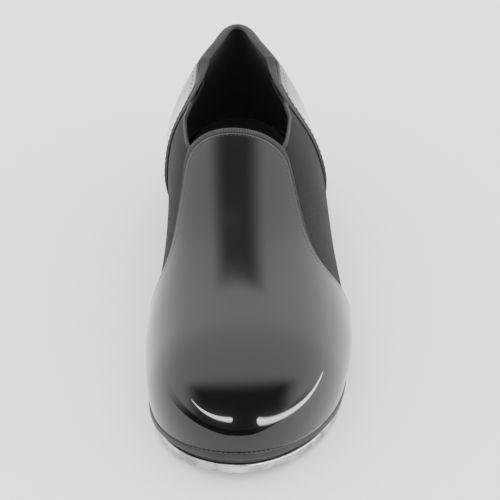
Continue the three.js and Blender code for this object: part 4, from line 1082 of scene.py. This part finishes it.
def card(name, points, strength, soft_u, soft_v):
    """Off-camera card that only reflections see. points is a grid in millimetres; it fades out
    towards its borders over the shares soft_u and soft_v. A low strength makes a dark flag."""
    m = bpy.data.materials.new(name + "_cloth")
    m.use_nodes = True
    tree = m.node_tree
    tree.nodes.clear()
    coords = node(tree, "ShaderNodeTexCoord").outputs["UV"]
    uv = node(tree, "ShaderNodeSeparateXYZ", links=[(coords, "Vector")])
    fades = []
    for axis, soft in (("X", soft_u), ("Y", soft_v)):
        fold = node(tree, "ShaderNodeMath", links=[(uv.outputs[axis], 0)], settings={"operation": "PINGPONG"})
        fold.inputs[1].default_value = 0.5
        fades.append(node(tree, "ShaderNodeMapRange", links=[(fold.outputs[0], "Value")],
                          settings={"interpolation_type": "SMOOTHERSTEP"}, From_Max=soft).outputs[0])
    mask = combined(tree, "MULTIPLY", *fades)
    glow = node(tree, "ShaderNodeEmission", Strength=strength)
    clear = node(tree, "ShaderNodeBsdfTransparent")
    mix = node(tree, "ShaderNodeMixShader", links=[(mask, 0), (clear.outputs[0], 1), (glow.outputs[0], 2)])
    node(tree, "ShaderNodeOutputMaterial", links=[(mix.outputs[0], "Surface")])
    r, c = points.shape[:2]
    u, v = np.meshgrid(np.linspace(0, 1, c), np.linspace(0, 1, r))
    obj = mesh_of(name, points.reshape(-1, 3), [grid_faces(r, c)], uv=np.stack([u, v], -1), material=m)
    obj.visible_camera = obj.visible_diffuse = obj.visible_shadow = False


def dome(across, up, radius, rows=14, cols=24):
    """Patch of a ball round the shoe, in degrees: across is measured from the shoe's long plane,
    up from the ground in front of the toe over the top."""
    a, e = np.radians(np.meshgrid(np.linspace(*across, cols), np.linspace(*up, rows)))
    return np.stack([np.sin(a), -np.cos(a) * np.cos(e), np.cos(a) * np.sin(e)], -1) * radius + [0, 0, 31]


def strip(places, half, radius):
    """Curved light on an upright band round the toe through (degrees, height) places, blunt at
    the first place and drawn out to nothing at the last."""
    t = np.linspace(0, 1, 60)[None]
    v = np.linspace(-1, 1, 7)[:, None]
    at = [spline(np.array([p[k] for p in places], float), t) for k in (0, 1)]
    z = at[1] + v * half * (1 - t) ** 0.75 * np.clip(t / 0.05, 0, 1) ** 0.5
    a = np.radians(at[0] + 0 * v)
    return np.stack([radius * np.sin(a), -75 - radius * np.cos(a), z], -1)


# The room behind the camera is dark, and so is the table in front of the toe.
card("dark_room", dome((-80, 80), (-24, 72), 1500), 0.2, 0.26, 0.3)
bend, reach = np.meshgrid(np.radians(np.linspace(-100, 100, 40)), np.linspace(0, 1, 8))
far = 190 + 1200 * reach ** 2
table = np.stack([far * np.sin(bend), -68 - far * np.cos(bend), 0.6 + 0 * far], -1)
card("dark_table", table, 0.0, 0.25, 0.01)
# The narrow flag over the instep, then the lights, left and right as the camera sees them.
x, y = np.meshgrid(np.linspace(-40, 38, 20), np.linspace(-15, 46, 12))
card("instep_flag", np.stack([x, y, 121 + 0 * x], -1), 0.45, 0.42, 0.14)
for name, places, half in (
        ("left_strip", [(-6, 48), (-17, 48), (-30, 48), (-42, 50), (-54, 56)], 8.5),
        ("right_strip", [(13, 42), (24, 33), (36, 26), (50, 20), (64, 17), (77, 19), (92, 28)], 13.5)):
    card(name, strip(places, half, 110), 30.0, 0.03, 0.4)

camera = bpy.data.cameras.new("camera")
camera.lens, camera.sensor_width, camera.clip_end = 110.9, 36.0, 50.0
eye = bpy.data.objects.new("camera", camera)
bpy.context.scene.collection.objects.link(eye)
eye.location = sky_point(-1.0, 35.0, 0.7201)
eye.rotation_euler = (AIM - eye.location).to_track_quat("-Z", "Y").to_euler()
bpy.context.scene.camera = eye
